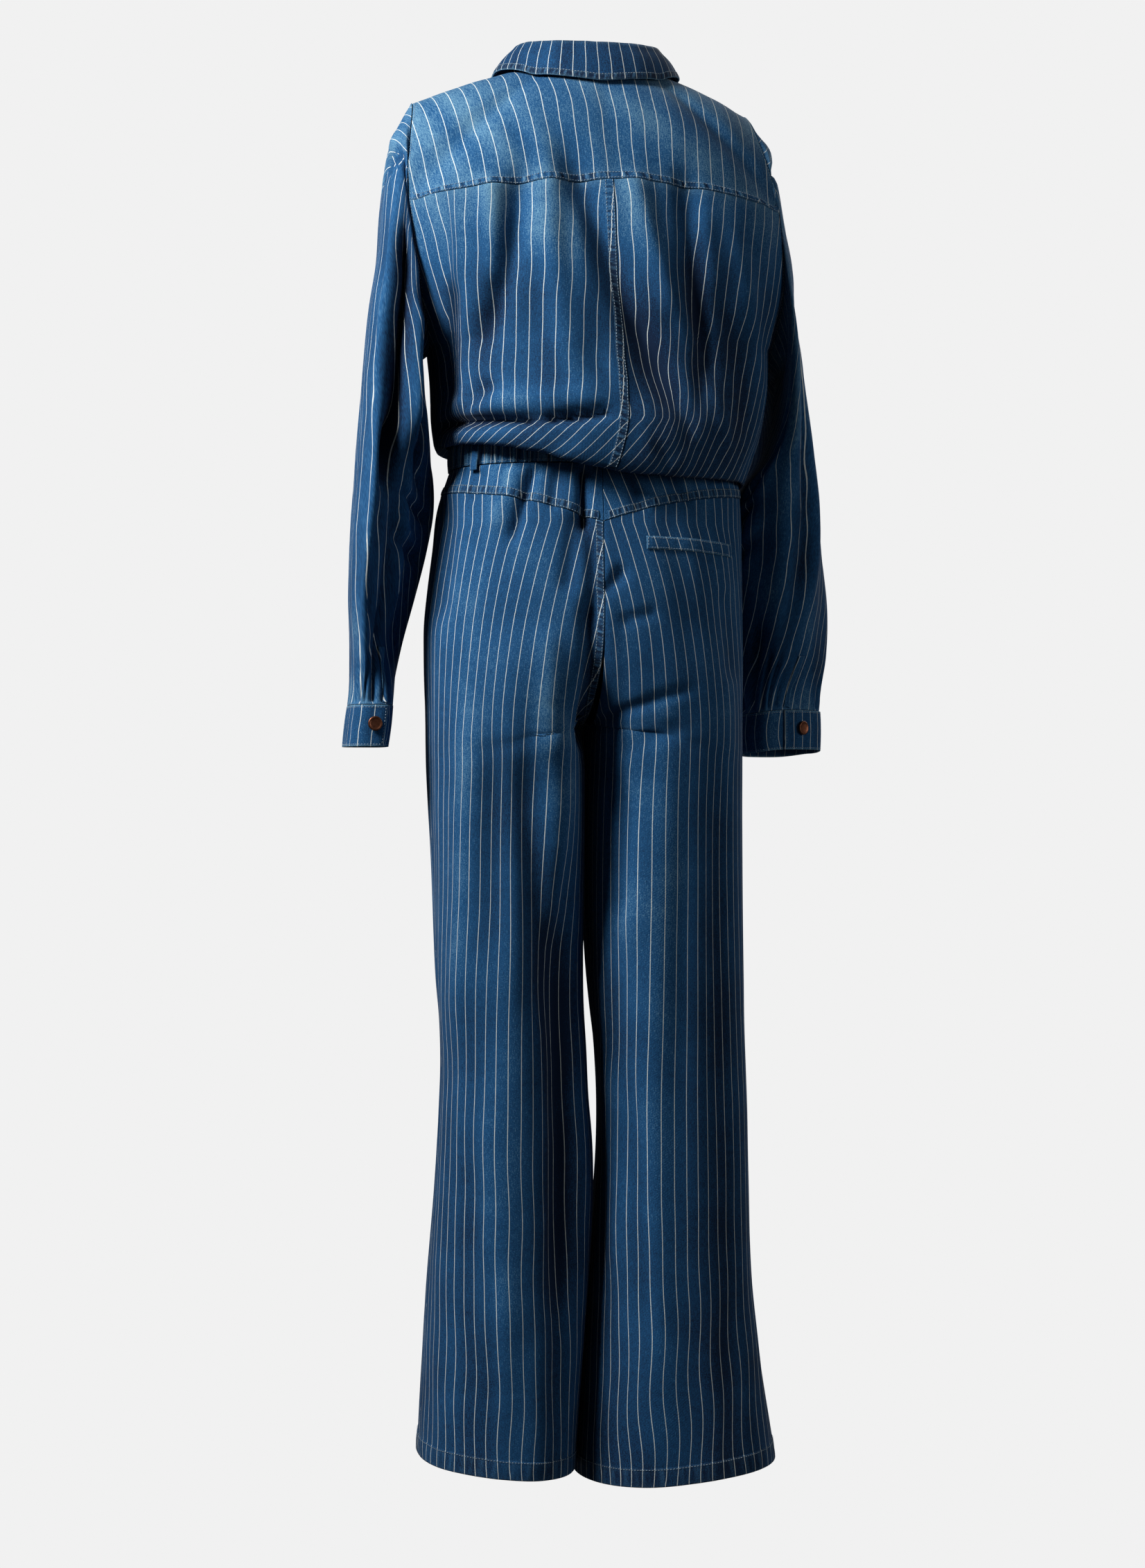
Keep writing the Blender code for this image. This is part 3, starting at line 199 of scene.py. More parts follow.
# On hips and legs, by place across and drop, seen from behind.
LEG_CREASES = table(
    CREASE,
    (.0235, .400, .0240, .470, 0, .0050, -.012, 0),
    (.030, .445, .043, .535, 0, .010, -.006, 0),
    (.018, .450, .018, .565, .003, .009, -.008, 0),
    (.020, .540, .016, .690, .002, .010, -.011, 0),
    (.062, .560, .058, .700, .002, .014, .005, 0),
    (.050, .640, .044, .890, .002, .018, .010, 0),
    (.070, .397, .097, .482, 0, .005, -.008, 0),
    (.086, .400, .112, .470, 0, .009, .004, 0),
    (.048, .402, .056, .450, 0, .006, -.004, 0),
    (.120, .402, .132, .440, 0, .006, -.003, 0),
    (.150, .425, .160, .560, .003, .007, -.004, 0),
    (-.016, .404, -.036, .452, 0, .007, -.004, 0),
    (-.060, .404, -.088, .440, 0, .006, -.004, 0),
    (-.030, .410, -.052, .446, 0, .008, .003, 0),
    (-.018, .504, .006, .532, 0, .007, -.005, 0),
    (-.010, .560, -.050, .548, 0, .006, -.003, 0),
    (.006, .662, -.090, .624, .004, .006, -.004, 0),
    (-.020, .690, -.080, .664, .004, .009, -.003, 0),
    (-.125, .520, -.135, .620, 0, .010, -.004, 0),
    (.112, .660, .118, 1.080, .004, .014, -.005, 0),
    (.135, .640, .146, 1.000, .004, .012, .005, 0),
    (.034, .760, .052, 1.420, .008, .014, -.007, 0),
    (.126, 1.080, .140, 1.420, 0, .014, -.004, 0),
    (-.040, .730, -.046, 1.420, .006, .016, .006, 0),
    (-.118, .680, -.128, 1.420, .004, .018, -.006, 0),
    (-.020, .700, -.026, .860, .006, .009, -.004, .002),
    (.112, .840, .100, 1.330, .002, .022, .009, 0),
    (.050, .780, .040, 1.260, .006, .020, -.014, 0),
    (.086, .690, .060, .980, .004, .018, -.008, 0),
    (-.060, .640, -.060, 1.425, .002, .018, .007, 0),
    (-.030, .640, -.034, .900, .002, .014, .005, 0),
    (-.018, .990, -.022, 1.240, .002, .009, .004, 0),
    (-.038, 1.020, -.048, 1.300, .002, .009, -.005, 0),
    (.112, 1.180, .122, 1.410, .003, .009, -.004, 0))

# On the front's bodice and legs, by place across and drop.
FRONT_CREASES = table(
    CREASE,
    (.120, .120, .060, .240, .004, .014, -.004, .001),
    (.085, .100, .070, .330, .004, .016, .004, 0),
    (-.120, .120, -.060, .250, .004, .014, -.004, .001),
    (-.090, .110, -.080, .330, .004, .016, .004, 0),
    (.150, .250, .110, .350, 0, .010, -.003, .002),
    (-.150, .260, -.100, .355, 0, .010, -.003, .002),
    (.130, .352, .030, .356, 0, .009, -.006, 0),
    (-.040, .358, -.140, .362, 0, .009, -.006, 0),
    (.050, .520, .085, .640, .004, .012, -.003, .001),
    (-.050, .520, -.085, .640, .004, .012, -.003, .001),
    (.030, .600, .100, .655, .004, .009, -.004, .002),
    (-.030, .600, -.100, .655, .004, .009, -.004, .002),
    (.090, .700, .085, 1.400, .006, .016, .004, 0),
    (.130, .800, .130, 1.410, .006, .014, -.003, 0),
    (.045, .850, .050, 1.400, .006, .014, -.003, 0),
    (-.090, .700, -.085, 1.400, .006, .016, .004, 0),
    (-.130, .800, -.132, 1.410, .006, .014, -.003, 0),
    (-.045, .850, -.050, 1.400, .006, .014, -.003, 0))

# On a sleeve, by angle round it and row of its table, both turned into lengths.
SLEEVE_CREASES = table(
    CREASE,
    (6, .62, 71, -.82, 0, .006, -.007, 0),
    (4, .20, 60, -1.0, 0, .012, .004, 0),
    (104, 6.7, 172, 7.3, 0, .008, -.006, .002),
    (100, 7.7, 165, 8.2, .004, .008, -.005, .002),
    (96, 7.2, 150, 7.8, .002, .006, .003, 0),
    (120, 5.4, 150, 6.6, .002, .007, -.004, .001),
    (50, 1.0, 44, 6.5, 0, .014, .003, 0),
    (76, 7.0, 66, 9.6, .006, .008, -.003, .002),
    (-60, 2.0, -70, 8.0, .004, .014, -.004, 0),
    (-110, 6.8, -170, 7.6, 0, .010, -.004, 0),
    (-95, 7.7, -160, 8.4, .003, .008, -.003, 0),
    (92, 9.3, 88, 12.0, .003, .005, -.006, .002),
    (74, 9.9, 70, 12.0, .002, .004, -.004, .001),
    (55, 10.0, 54, 12.0, 0, .005, -.005, .001),
    (36, 10.3, 38, 12.0, 0, .005, -.004, 0),
    (112, 10.2, 104, 12.0, 0, .005, -.005, .001),
    (126, 10.5, 120, 12.0, 0, .005, -.004, .001),
    (14, 10.6, 18, 12.0, 0, .005, -.003, 0),
    (-30, 10.4, -32, 12.0, 0, .006, -.004, 0),
    (-80, 10.0, -82, 12.0, 0, .005, -.005, 0),
    (-125, 10.4, -122, 12.0, 0, .006, -.004, 0))

# The long folds down each sleeve's back.
SLEEVE_FOLDS = {
    Side.LEFT: table(
        CREASE,
        (56, .4, 58, 5.0, .003, .012, .004, 0),
        (84, .1, 80, 6.9, .003, .0130, -.026, 0),
        (108, .8, 112, 5.0, .003, .009, .007, 0),
        (124, .8, 126, 6.4, 0, .010, -.007, 0),
        (58, 5.0, 58, 10.6, .002, .007, .004, 0),
        (96, 6.8, 100, 10.4, .003, .010, -.005, 0),
        (118, 5.4, 124, 9.6, .003, .009, .005, 0)),
    Side.RIGHT: table(
        CREASE,
        (96, 1.0, 82, 9.0, .003, .012, .006, 0),
        (58, 2.0, 52, 9.6, .003, .016, -.009, 0),
        (124, 3.0, 132, 9.0, 0, .016, -.006, 0),
        (30, 3.0, 24, 9.0, 0, .014, .004, 0))}


# ------------------------------------------------------------------ small mathematics
def hermite(knots: Array, at: Array) -> Array:
    """Weights that read a smooth curve through values at knots.

    Args:
        knots: rising places of the values.
        at: places to read.

    Returns:
        An array of len(at) rows and len(knots) columns.
    """
    at = np.clip(at, knots[0], knots[-1])
    eye = np.eye(len(knots))
    slopes = np.gradient(eye, knots, axis=0)
    row = np.clip(np.searchsorted(knots, at, side="right") - 1, 0, len(knots) - 2)
    span = (knots[row + 1] - knots[row])[:, None]
    t = (at - knots[row])[:, None] / span
    return ((2 * t**3 - 3 * t**2 + 1) * eye[row] + (t**3 - 2 * t**2 + t) * span * slopes[row]
            + (3 * t**2 - 2 * t**3) * eye[row + 1] + (t**3 - t**2) * span * slopes[row + 1])


def smooth(source: Array, column: str, at: Array | float, key: str = "drop") -> Array:
    """Read a column of a table on a smooth curve through its rows."""
    at = np.asarray(at, float)
    values = hermite(source[key], at.ravel()) @ source[column]
    return values.reshape(at.shape)


def mix(first: Array, second: Array, share: Array | float) -> Array:
    """Blend two values or arrays of points."""
    return first + (second - first) * share


def ease(share: Array | float) -> Array:
    """A smooth step from 0 to 1."""
    share = np.clip(share, 0.0, 1.0)
    return share * share * (3.0 - 2.0 * share)


def points(x: Array, y: Array, z: Array) -> Array:
    """Join coordinates of any matching shapes into one array of points."""
    return np.stack(np.broadcast_arrays(x, y, z), axis=-1)


def unit(vectors: Array) -> Array:
    """Vectors of length one."""
    return vectors / np.maximum(np.linalg.norm(vectors, axis=-1, keepdims=True), 1e-12)


def lengths(grid: Array, axis: int = 0) -> Array:
    """Lengths along a line or a grid of points, from 0 at its first point."""
    step = np.cumsum(np.linalg.norm(np.diff(grid, axis=axis), axis=-1), axis=axis)
    return np.pad(step, [(int(i == axis), 0) for i in range(step.ndim)])


def on_line(line: Array, scale: Array, at: float) -> Array:
    """One point of a line, read at a place on its rising scale."""
    return np.array([np.interp(at, scale, column) for column in line.T])


def wander(at: Array, pitch: float, seed: int) -> Array:
    """An uneven wave between about -1 and 1.

    Args:
        at: places along it.
        pitch: its mean distance from crest to crest.
        seed: which of such waves.

    Returns:
        The wave's heights.
    """
    random = np.random.default_rng(seed)
    wave = np.zeros_like(at)
    for stretch in (0.62, 0.87, 1.19, 1.73):
        wave = wave + np.sin(2.0 * math.pi * (at / (pitch * stretch) + random.random()))
    return wave / 2.4


# ------------------------------------------------------------------ the worn form
@dataclass(frozen=True)
class Form:
    """Sizes of the worn garment's form, and the surfaces worked out from them."""

    arm_top: float = 0.023
    arm_low: float = 0.280
    arm_back: float = 0.073
    arm_front: float = 0.062
    front_corner: float = -28.0
    yoke_drop: float = 0.119
    yoke_slant: float = 0.016
    bib_drop: float = 0.120
    bib_bend: float = 0.45
    neck_half: float = 0.072
    neck_back: float = 0.070
    neck_front: float = 0.088
    neck_drop_back: float = -0.004
    neck_drop_side: float = -0.014
    neck_drop_front: float = 0.070
    neck_at_front: float = 103.0
    neck_at_back: float = 42.0
    chest_drop: float = 0.300
    waist_seam: float = 0.372
    waist_lap: float = 0.0066
    hip_top: float = 0.3994
    hip_seam_side: float = 0.4245
    hip_seam_back: float = 0.459
    full: float = 2.3

    def armhole(self, side: int, angle: Array | float) -> Array:
        """Points of the armhole: 0 degrees is the shoulder tip, 90 the back."""
        turn = np.radians(angle)
        drop = self.arm_top + (self.arm_low - self.arm_top) * (1.0 - np.cos(turn)) / 2.0
        depth = np.where(np.sin(turn) > 0.0, self.arm_back, self.arm_front)
        x = side * smooth(BODY, "left" if side > 0 else "right", drop)
        return points(x, depth * np.sin(turn), -drop)

    def armhole_angle(self, drop: Array | float) -> Array:
        """The back half's armhole angle at a drop."""
        level = 1.0 - 2.0 * (drop - self.arm_top) / (self.arm_low - self.arm_top)
        return np.degrees(np.arccos(np.clip(level, -1.0, 1.0)))

    def section(self, half_x: Array, half_y: Array, direction: Array) -> tuple[Array, Array]:
        """A rounded section's point, 0 along half_y and 90 degrees along half_x."""
        across = np.sin(direction)
        along = np.cos(direction)
        power = self.full
        reach = (np.abs(across / half_x)**power + np.abs(along / half_y)**power)**(-1.0 / power)
        return reach * across, reach * along

    def body(self, side: int, face: str, share: Array, drop: Array) -> Array:
        """The bodice's surface from its centre seam (share 0) to its outer seam (1)."""
        share, drop = np.broadcast_arrays(np.asarray(share, float), np.asarray(drop, float))
        centre = smooth(BODY, "centre", drop)
        edge_x = np.abs(side * smooth(BODY, "left" if side > 0 else "right", drop) - centre)
        half_y = np.abs(smooth(BODY, face, drop))
        depth = self.arm_back if face == "back" else self.arm_front
        edge_y = depth * np.sin(np.radians(self.armhole_angle(drop)))
        half_x = edge_x / (1.0 - (edge_y / half_y)**self.full)**(1.0 / self.full)
        x, y = self.section(half_x, half_y, share * np.arctan2(edge_x, edge_y))
        return points(centre + side * x, y if face == "back" else -y, -drop)

    def ring(self, side: int, face: str, share: Array, drop: Array, grow: Array = 0.0) -> Array:
        """A closed section's quarter of the lower body, centre (share 0) to side (1)."""
        centre = smooth(LOWER, "centre", drop)
        edge = side * smooth(LOWER, "left" if side > 0 else "right", drop)
        half_y = np.abs(smooth(LOWER, face, drop)) + grow
        x, y = self.section(np.abs(edge - centre) + grow, half_y,
                            np.asarray(share, float) * math.pi / 2.0)
        return points(centre + side * x, y if face == "back" else -y,
                      -np.asarray(drop, float))

    def blouse(self, side: int, face: str, share: Array) -> list[Array]:
        """Rows of the bodice below the chest: out, down, under and up to the waist seam."""
        rows = []
        spread = self.body(side, face, share, self.chest_drop)[..., 0]
        low = smooth(ROLL, "drop", spread, key="x")
        for stage in BLOUSE:
            drop = mix(self.chest_drop, low, stage["fall"])
            outer = self.body(side, face, share, drop)
            inner = self.ring(side, face, share, drop)
            rows.append(mix(inner, outer, stage["reach"]))
        rows.append(self.ring(side, face, share, np.full_like(share, self.waist_seam),
                              self.waist_lap))
        return rows

    def neck(self, angle: Array | float) -> Array:
        """Points of the neck seam: 0 degrees is the centre back, 90 the left side."""
        turn = np.radians(angle)
        behind = np.cos(turn) > 0.0
        depth = np.where(behind, self.neck_back, self.neck_front)
        middle = np.where(behind, self.neck_drop_back, self.neck_drop_front)
        drop = self.neck_drop_side + (middle - self.neck_drop_side) * np.cos(turn)**2
        return points(self.neck_half * np.sin(turn), depth * np.cos(turn), -drop)

    def yoke_seam(self, share: Array | float) -> Array:
        """The yoke seam's drop, from the centre back (0) to the armhole (1)."""
        return self.yoke_drop + self.yoke_slant * np.asarray(share)**2

    def hip_seam(self, share: Array | float) -> Array:
        """The hip yoke seam's drop, from the centre back (0) to the side (1)."""
        return mix(self.hip_seam_back, self.hip_seam_side, 1.0 - (1.0 - np.asarray(share))**2)


FORM = Form()


# ------------------------------------------------------------------ finishes
def linear(colour: str) -> tuple[float, float, float, float]:
    """Turn an sRGB hex colour into a linear one.

    Args:
        colour: such as "#3A6799".

    Returns:
        Linear red, green, blue, and an alpha of 1.
    """
    parts = [int(colour[i:i + 2], 16) / 255.0 for i in (1, 3, 5)]
    parts = [c / 12.92 if c <= 0.04045 else ((c + 0.055) / 1.055)**2.4 for c in parts]
    return (*parts, 1.0)


def add_node(tree: bpy.types.NodeTree, kind: str, inputs: dict | None = None,
             **settings: object) -> bpy.types.Node:
    """Add a node with its settings, values and links.

    Args:
        tree: the material's node tree.
        kind: the node's type, without its prefix.
        inputs: input name or number, and its value, the socket that feeds it, or the node
            whose first output does.
        settings: the node's properties.

    Returns:
        The node.
    """
    node = tree.nodes.new("ShaderNode" + kind)
    for name, value in settings.items():
        setattr(node, name, value)
    for name, value in (inputs or {}).items():
        if isinstance(value, bpy.types.Node):
            value = value.outputs[0]
        if isinstance(value, bpy.types.NodeSocket):
            tree.links.new(value, node.inputs[name])
        else:
            node.inputs[name].default_value = value
    return node


# A mix node's sockets for two colours and for their blend.
MIX_A, MIX_B, MIXED = 6, 7, 2


@dataclass(frozen=True)
class Finish:
    """A surface that pieces share."""

    name: str

    def surface(self, tree: bpy.types.NodeTree) -> bpy.types.Node:
        """Build the nodes of the surface and give the last one."""
        raise NotImplementedError

    def material(self) -> bpy.types.Material:
        """Make the finish's material once, and then share it."""
        material = bpy.data.materials.get(self.name)
        if material is None:
            material = bpy.data.materials.new(self.name)
            material.use_nodes = True
            tree = material.node_tree
            tree.nodes.clear()
            add_node(tree, "OutputMaterial", {"Surface": self.surface(tree)})
        return material


@dataclass(frozen=True)
class Denim(Finish):
    """Stone-washed cotton twill with a woven stripe.

    Indigo warp over white weft: matt, softly mottled, with pale slubs down the warp, paler
    where it was washed or rubbed, darker or paler where shade and light are painted into its
    wash, and a thin off-white warp stripe. The twill's real threads are 0.5 mm apart; they are
    drawn 1.4 mm apart, so that they show in the render.
    """

    deep: str = "#071D38"
    middle: str = "#194D79"
    pale: str = "#6B95AC"
    stripe: str = "#D0D7D4"
    pitch: float = 13.4 * MM
    stripe_width: float = 0.72 * MM
    slub_across: float = 0.8 * MM
    slub_down: float = 6.0 * MM
    slub_share: float = 0.65
    grain: float = 1.3 * MM
    grain_share: float = 0.70
    cloud: float = 70.0 * MM
    cloud_share: float = 0.50
    twill: float = 1.4 * MM

    def surface(self, tree: bpy.types.NodeTree) -> bpy.types.Node:
        """Dye, wash with painted shade and light, wear and stripe over the twill's relief."""
        cloth = add_node(tree, "UVMap", uv_map="cloth")
        wash, wear = (add_node(tree, "Attribute", attribute_name=name).outputs["Fac"]
                      for name in ("wash", "wear"))

        def scaled(across: float, down: float) -> bpy.types.Node:
            """The cloth's own coordinates, counted in steps of two real lengths."""
            return add_node(tree, "Mapping", {"Vector": cloth,
                                              "Scale": (1.0 / across, 1.0 / down, 1.0)})

        slub, grain, cloud = (
            add_node(tree, "TexNoise", {"Vector": scaled(across, down), "Scale": 1.0,
                                        "Detail": detail})
            for across, down, detail in ((self.slub_across, self.slub_down, 2.0),
                                         (self.grain, self.grain, 1.0),
                                         (self.cloud, self.cloud, 3.0)))
        mean = (self.slub_share + self.grain_share + self.cloud_share) / 2.0
        shade = add_node(tree, "Math", {0: wash, 1: mean}, operation="SUBTRACT")
        for source, share in ((slub, self.slub_share), (grain, self.grain_share),
                              (cloud, self.cloud_share)):
            shade = add_node(tree, "Math", {0: source, 1: share, 2: shade},
                             operation="MULTIPLY_ADD")
        dye = add_node(tree, "ValToRGB", {"Fac": shade})
        stops = dye.color_ramp.elements
        stops.new(0.5)
        for stop, colour in zip(stops, (self.deep, self.middle, self.pale)):
            stop.color = linear(colour)
        rubbed = add_node(tree, "Math", {0: grain, 1: 1.6, 2: -0.15}, operation="MULTIPLY_ADD")
        rubbed = add_node(tree, "Math", {0: wear, 1: rubbed}, operation="MULTIPLY",
                          use_clamp=True)
        blue = add_node(tree, "Mix", {"Factor": rubbed, MIX_A: dye, MIX_B: linear(self.pale)},
                        data_type="RGBA")

        # How far each place is from the middle of its stripe, in shares of the pitch.
        across = add_node(tree, "SeparateXYZ", {0: cloth})
        place = add_node(tree, "Math", {0: across, 1: 1.0 / self.pitch, 2: 0.5},
                         operation="MULTIPLY_ADD")
        place = add_node(tree, "Math", {0: place}, operation="FRACT")
        place = add_node(tree, "Math", {0: place, 1: 0.5}, operation="SUBTRACT")
        place = add_node(tree, "Math", {0: place}, operation="ABSOLUTE")
        half = self.stripe_width / self.pitch / 2.0
        line = add_node(tree, "MapRange", {"Value": place, "From Min": half * 1.25,
                                           "From Max": half * 0.75},
                        interpolation_type="SMOOTHSTEP")
        broken = add_node(tree, "Math", {0: slub, 1: 0.55, 2: 0.60},
                          operation="MULTIPLY_ADD", use_clamp=True)
        line = add_node(tree, "Math", {0: line, 1: broken}, operation="MULTIPLY")
        colour = add_node(tree, "Mix", {"Factor": line, MIX_A: blue.outputs[MIXED],
                                        MIX_B: linear(self.stripe)}, data_type="RGBA")

        ribs = add_node(tree, "TexWave", {"Vector": scaled(self.twill, self.twill),
                                          "Scale": 0.32, "Distortion": 1.5, "Detail": 1.0},
                        wave_type="BANDS", bands_direction="DIAGONAL").outputs["Fac"]
        relief = add_node(tree, "Math", {0: ribs, 1: slub}, operation="ADD")
        relief = add_node(tree, "Math", {0: relief, 1: line}, operation="ADD")
        bump = add_node(tree, "Bump", {"Height": relief, "Strength": 0.25,
                                       "Distance": 0.22 * MM})
        return add_node(tree, "BsdfPrincipled", {
            "Base Color": colour.outputs[MIXED], "Normal": bump, "Roughness": 0.86,
            "Sheen Weight": 0.03, "Sheen Roughness": 0.5, "Specular IOR Level": 0.15})


@dataclass(frozen=True)
class Thread(Finish):
    """Spun polyester sewing thread, pale blue-grey: a soft gloss and no grain of its own."""

    fresh: str = "#7C95A8"
    worn: str = "#B9C6CE"
    pitch: float = 3.1 * MM      # from stitch to stitch
    long: float = 2.3 * MM
    thick: float = 0.45 * MM

    def surface(self, tree: bpy.types.NodeTree) -> bpy.types.Node:
        """Thread that is rubbed paler in patches."""
        patches = add_node(tree, "TexNoise", {
            "Vector": add_node(tree, "TexCoord").outputs["Object"], "Scale": 90.0,
            "Detail": 2.0})
        colour = add_node(tree, "Mix", {"Factor": patches, MIX_A: linear(self.fresh),
                                        MIX_B: linear(self.worn)}, data_type="RGBA")
        return add_node(tree, "BsdfPrincipled", {"Base Color": colour.outputs[MIXED],
                                                 "Roughness": 0.6})


@dataclass(frozen=True)
class Copper(Finish):
    """Copper-plated brass, tumbled to a satin and darkened in its hollows by handling."""

    bright: str = "#9C644B"
    dark: str = "#553427"

    def surface(self, tree: bpy.types.NodeTree) -> bpy.types.Node:
        """Satin metal with dark stains."""
        stain = add_node(tree, "TexNoise", {
            "Vector": add_node(tree, "TexCoord").outputs["Object"], "Scale": 420.0,
            "Detail": 4.0})
        colour = add_node(tree, "Mix", {"Factor": stain, MIX_A: linear(self.bright),
                                        MIX_B: linear(self.dark)}, data_type="RGBA")
        bump = add_node(tree, "Bump", {"Height": stain, "Strength": 0.2,
                                       "Distance": 0.05 * MM})
        return add_node(tree, "BsdfPrincipled", {
            "Base Color": colour.outputs[MIXED], "Normal": bump, "Metallic": 1.0,
            "Roughness": 0.42})


@dataclass(frozen=True)
class Paper(Finish):
    """Pale studio paper, lit so evenly that it shows one flat tone."""

    tone: str = "#F1F1F1"

    def surface(self, tree: bpy.types.NodeTree) -> bpy.types.Node:
        """An even glow."""
        return add_node(tree, "Emission", {"Color": linear(self.tone), "Strength": 1.0})


DENIM = Denim("denim_cotton_twill_washed")
THREAD = Thread("sewing_thread_spun_polyester")
COPPER = Copper("copper_plate_tumbled")
PAPER = Paper("studio_paper_pale")


# ------------------------------------------------------------------ cloth as fine grids
class Edge(Enum):
    """An edge of a panel's grid: the axis that runs away from it, and whether it is last."""

    TOP = (0, False)
    BOTTOM = (0, True)
    FIRST = (1, False)
    LAST = (1, True)


def spread(length: float, step: float, dense: bool) -> Array:
    """Rising places along a length.

    Args:
        length: the whole length.
        step: the spacing away from the ends.
        dense: whether the places gather at both ends.

    Returns:
        The places, from 0 to the length.
    """
    near = EDGE_STEPS if dense else EDGE_STEPS[:1]
    far = length - near[::-1]
    count = max(2, round((far[0] - near[-1]) / step))
    return np.concatenate([near, np.linspace(near[-1], far[0], count + 1)[1:-1], far])


def mesh_object(name: str, verts: Array, faces: list,
                material: bpy.types.Material) -> bpy.types.Object:
    """Make a smooth object from vertices and faces and link it to the scene."""
    mesh = bpy.data.meshes.new(name)
    mesh.from_pydata(verts.tolist(), [], faces)
    mesh.materials.append(material)
    mesh.shade_smooth()
    item = bpy.data.objects.new(name, mesh)
    bpy.context.scene.collection.objects.link(item)
    return item


def rings(count: int, steps: int) -> list[tuple[int, ...]]:
    """Faces between rings of points, one ring after another."""
    return [(ring * steps + i, (ring + 1) * steps + i,
             (ring + 1) * steps + (i + 1) % steps, ring * steps + (i + 1) % steps)
            for ring in range(count - 1) for i in range(steps)]


def place(item: bpy.types.Object, slot: str, node: str = "") -> bpy.types.Object:
    """Put a piece on the garment, in place of its solid where it has one."""
    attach(item, BODY_NAME)
    if node:
        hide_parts(node)
    return item


@dataclass
class Panel:
    """A piece of cloth as a fine grid of points, with its place on the flat cloth."""

    points: Array
    across: Array
    down: Array
    row_at: Array | None = None        # places of the rows among the coarse ones
    column_at: Array | None = None
    flip: bool = False
    wash: Array | float = 0.45         # how pale it is washed, with painted shade and light on some panels: 0 is raw, 1 is palest
    wear: Array = field(init=False)    # how far it is rubbed
    crease_fade_and_shade: Array = field(init=False)    # what the creases add to the wash: ridges rubbed paler, painted shade in the troughs
    other_across: Array | None = None  # the run of stripes past a fold, and where it holds
    other_here: Array | None = None

    def __post_init__(self) -> None:
        """Start with cloth that is neither rubbed nor creased."""
        self.wear = np.zeros(self.points.shape[:2])
        self.crease_fade_and_shade = np.zeros(self.points.shape[:2])

    @classmethod
    def refine(cls, coarse: Array, grain: float = 0.0, step: float = STEP,
               dense: bool = True) -> "Panel":
        """Make a coarse grid fine, and lay it flat by its own lengths.

        Args:
            coarse: points of the coarse grid.
            grain: share of the width at which the cloth's zero line runs down.
            step: spacing of the fine points.
            dense: whether they gather at the edges.

        Returns:
            The panel, facing out.
        """
        down = lengths(coarse).mean(axis=1)
        side = lengths(coarse, 1).mean(axis=0)
        at_rows = spread(down[-1], step, dense)
        at_columns = spread(side[-1], step, dense)
        fine = np.einsum("qr,rck,sc->qsk", hermite(down, at_rows), coarse,
                         hermite(side, at_columns))
        across = lengths(fine, 1)
        zero = int(np.argmin(np.abs(at_columns - grain * side[-1])))
        panel = cls(fine, across - across[:, zero:zero + 1], lengths(fine),
                    np.interp(at_rows, down, np.arange(len(down))),
                    np.interp(at_columns, side, np.arange(len(side))))
        panel.face_out()
        return panel

    @property
    def x(self) -> Array:
        """Places across the garment."""
        return self.points[..., 0]

    @property
    def drop(self) -> Array:
        """Depths below the base of the neck."""
        return -self.points[..., 2]

    def normals(self) -> Array:
        """Unit normals that point out of the garment."""
        normal = unit(np.cross(*np.gradient(self.points, axis=(0, 1))))
        return -normal if self.flip else normal

    def face_out(self, middle: tuple[float, float] = (0.0, 0.0)) -> None:
        """Turn the normals away from the middle of the piece's own hollow."""
        away = self.points[..., :2] - np.array(middle)
        if np.sum(self.normals()[..., :2] * away) < 0.0:
            self.flip = not self.flip

    def keep_back(self, top: Array | float = SEAM_GAP, bottom: float = SEAM_GAP) -> None:
        """Move the edges back from their seams, square to each seam."""
        grid = self.points

        def pull(edge: Array, inner: Array, amount: Array | float) -> Array:
            """An edge's points, moved towards the next line of points."""
            line = unit(np.gradient(edge, axis=0))
            way = inner - edge
            way = unit(way - np.sum(way * line, axis=-1, keepdims=True) * line)
            return edge + way * amount

        grid[0] = pull(grid[0], grid[2], top)
        grid[-1] = pull(grid[-1], grid[-3], bottom)
        grid[:, 0] = pull(grid[:, 0], grid[:, 2], SEAM_GAP)
        grid[:, -1] = pull(grid[:, -1], grid[:, -3], SEAM_GAP)

    def press(self, creases: Array, strength: Array | float, flat: Array | None = None) -> None:
        """Press creases into the panel, rub their ridges paler and paint shade into their
        troughs.

        Args:
            creases: a table of creases.
            strength: how much of them each point takes.
            flat: the points' places in the creases' own plane, or else across and drop.
        """
        flat = np.stack([self.x, self.drop], axis=-1) if flat is None else flat
        depth = np.zeros(self.points.shape[:2])
        for crease in creases:
            start = np.array([crease["a0"], crease["b0"]])
            line = np.array([crease["a1"], crease["b1"]]) - start
            beside = np.array([-line[1], line[0]]) / np.linalg.norm(line)
            away = flat - start
            along = np.clip(away @ line / line.dot(line), 0.0, 1.0)
            bowed = 4.0 * along * (1.0 - along) * crease["bow"]
            gap = away - along[..., None] * line - bowed[..., None] * beside
            gap = np.linalg.norm(gap, axis=-1)
            crease_fade_and_shade = ease(np.minimum(along, 1.0 - along) * 4.0 + 0.25)
            shape = np.exp(-(gap / crease["width"])**2) * crease_fade_and_shade * strength
            depth = depth + crease["depth"] * shape
            self.across = self.across + crease["pull"] * shape
        self.points = self.points + self.normals() * depth[..., None]
        # Ridges are rubbed paler, and painted shade darkens the troughs.
        self.crease_fade_and_shade = self.crease_fade_and_shade + np.clip(26.0 * depth, -0.40, 0.14)

    def sway(self, amount: float, pitch: float, seed: int) -> None:
        """Let the stripes wave a little from side to side down the cloth."""
        self.across = self.across + amount * wander(
            self.down + 0.35 * self.across, pitch, seed)

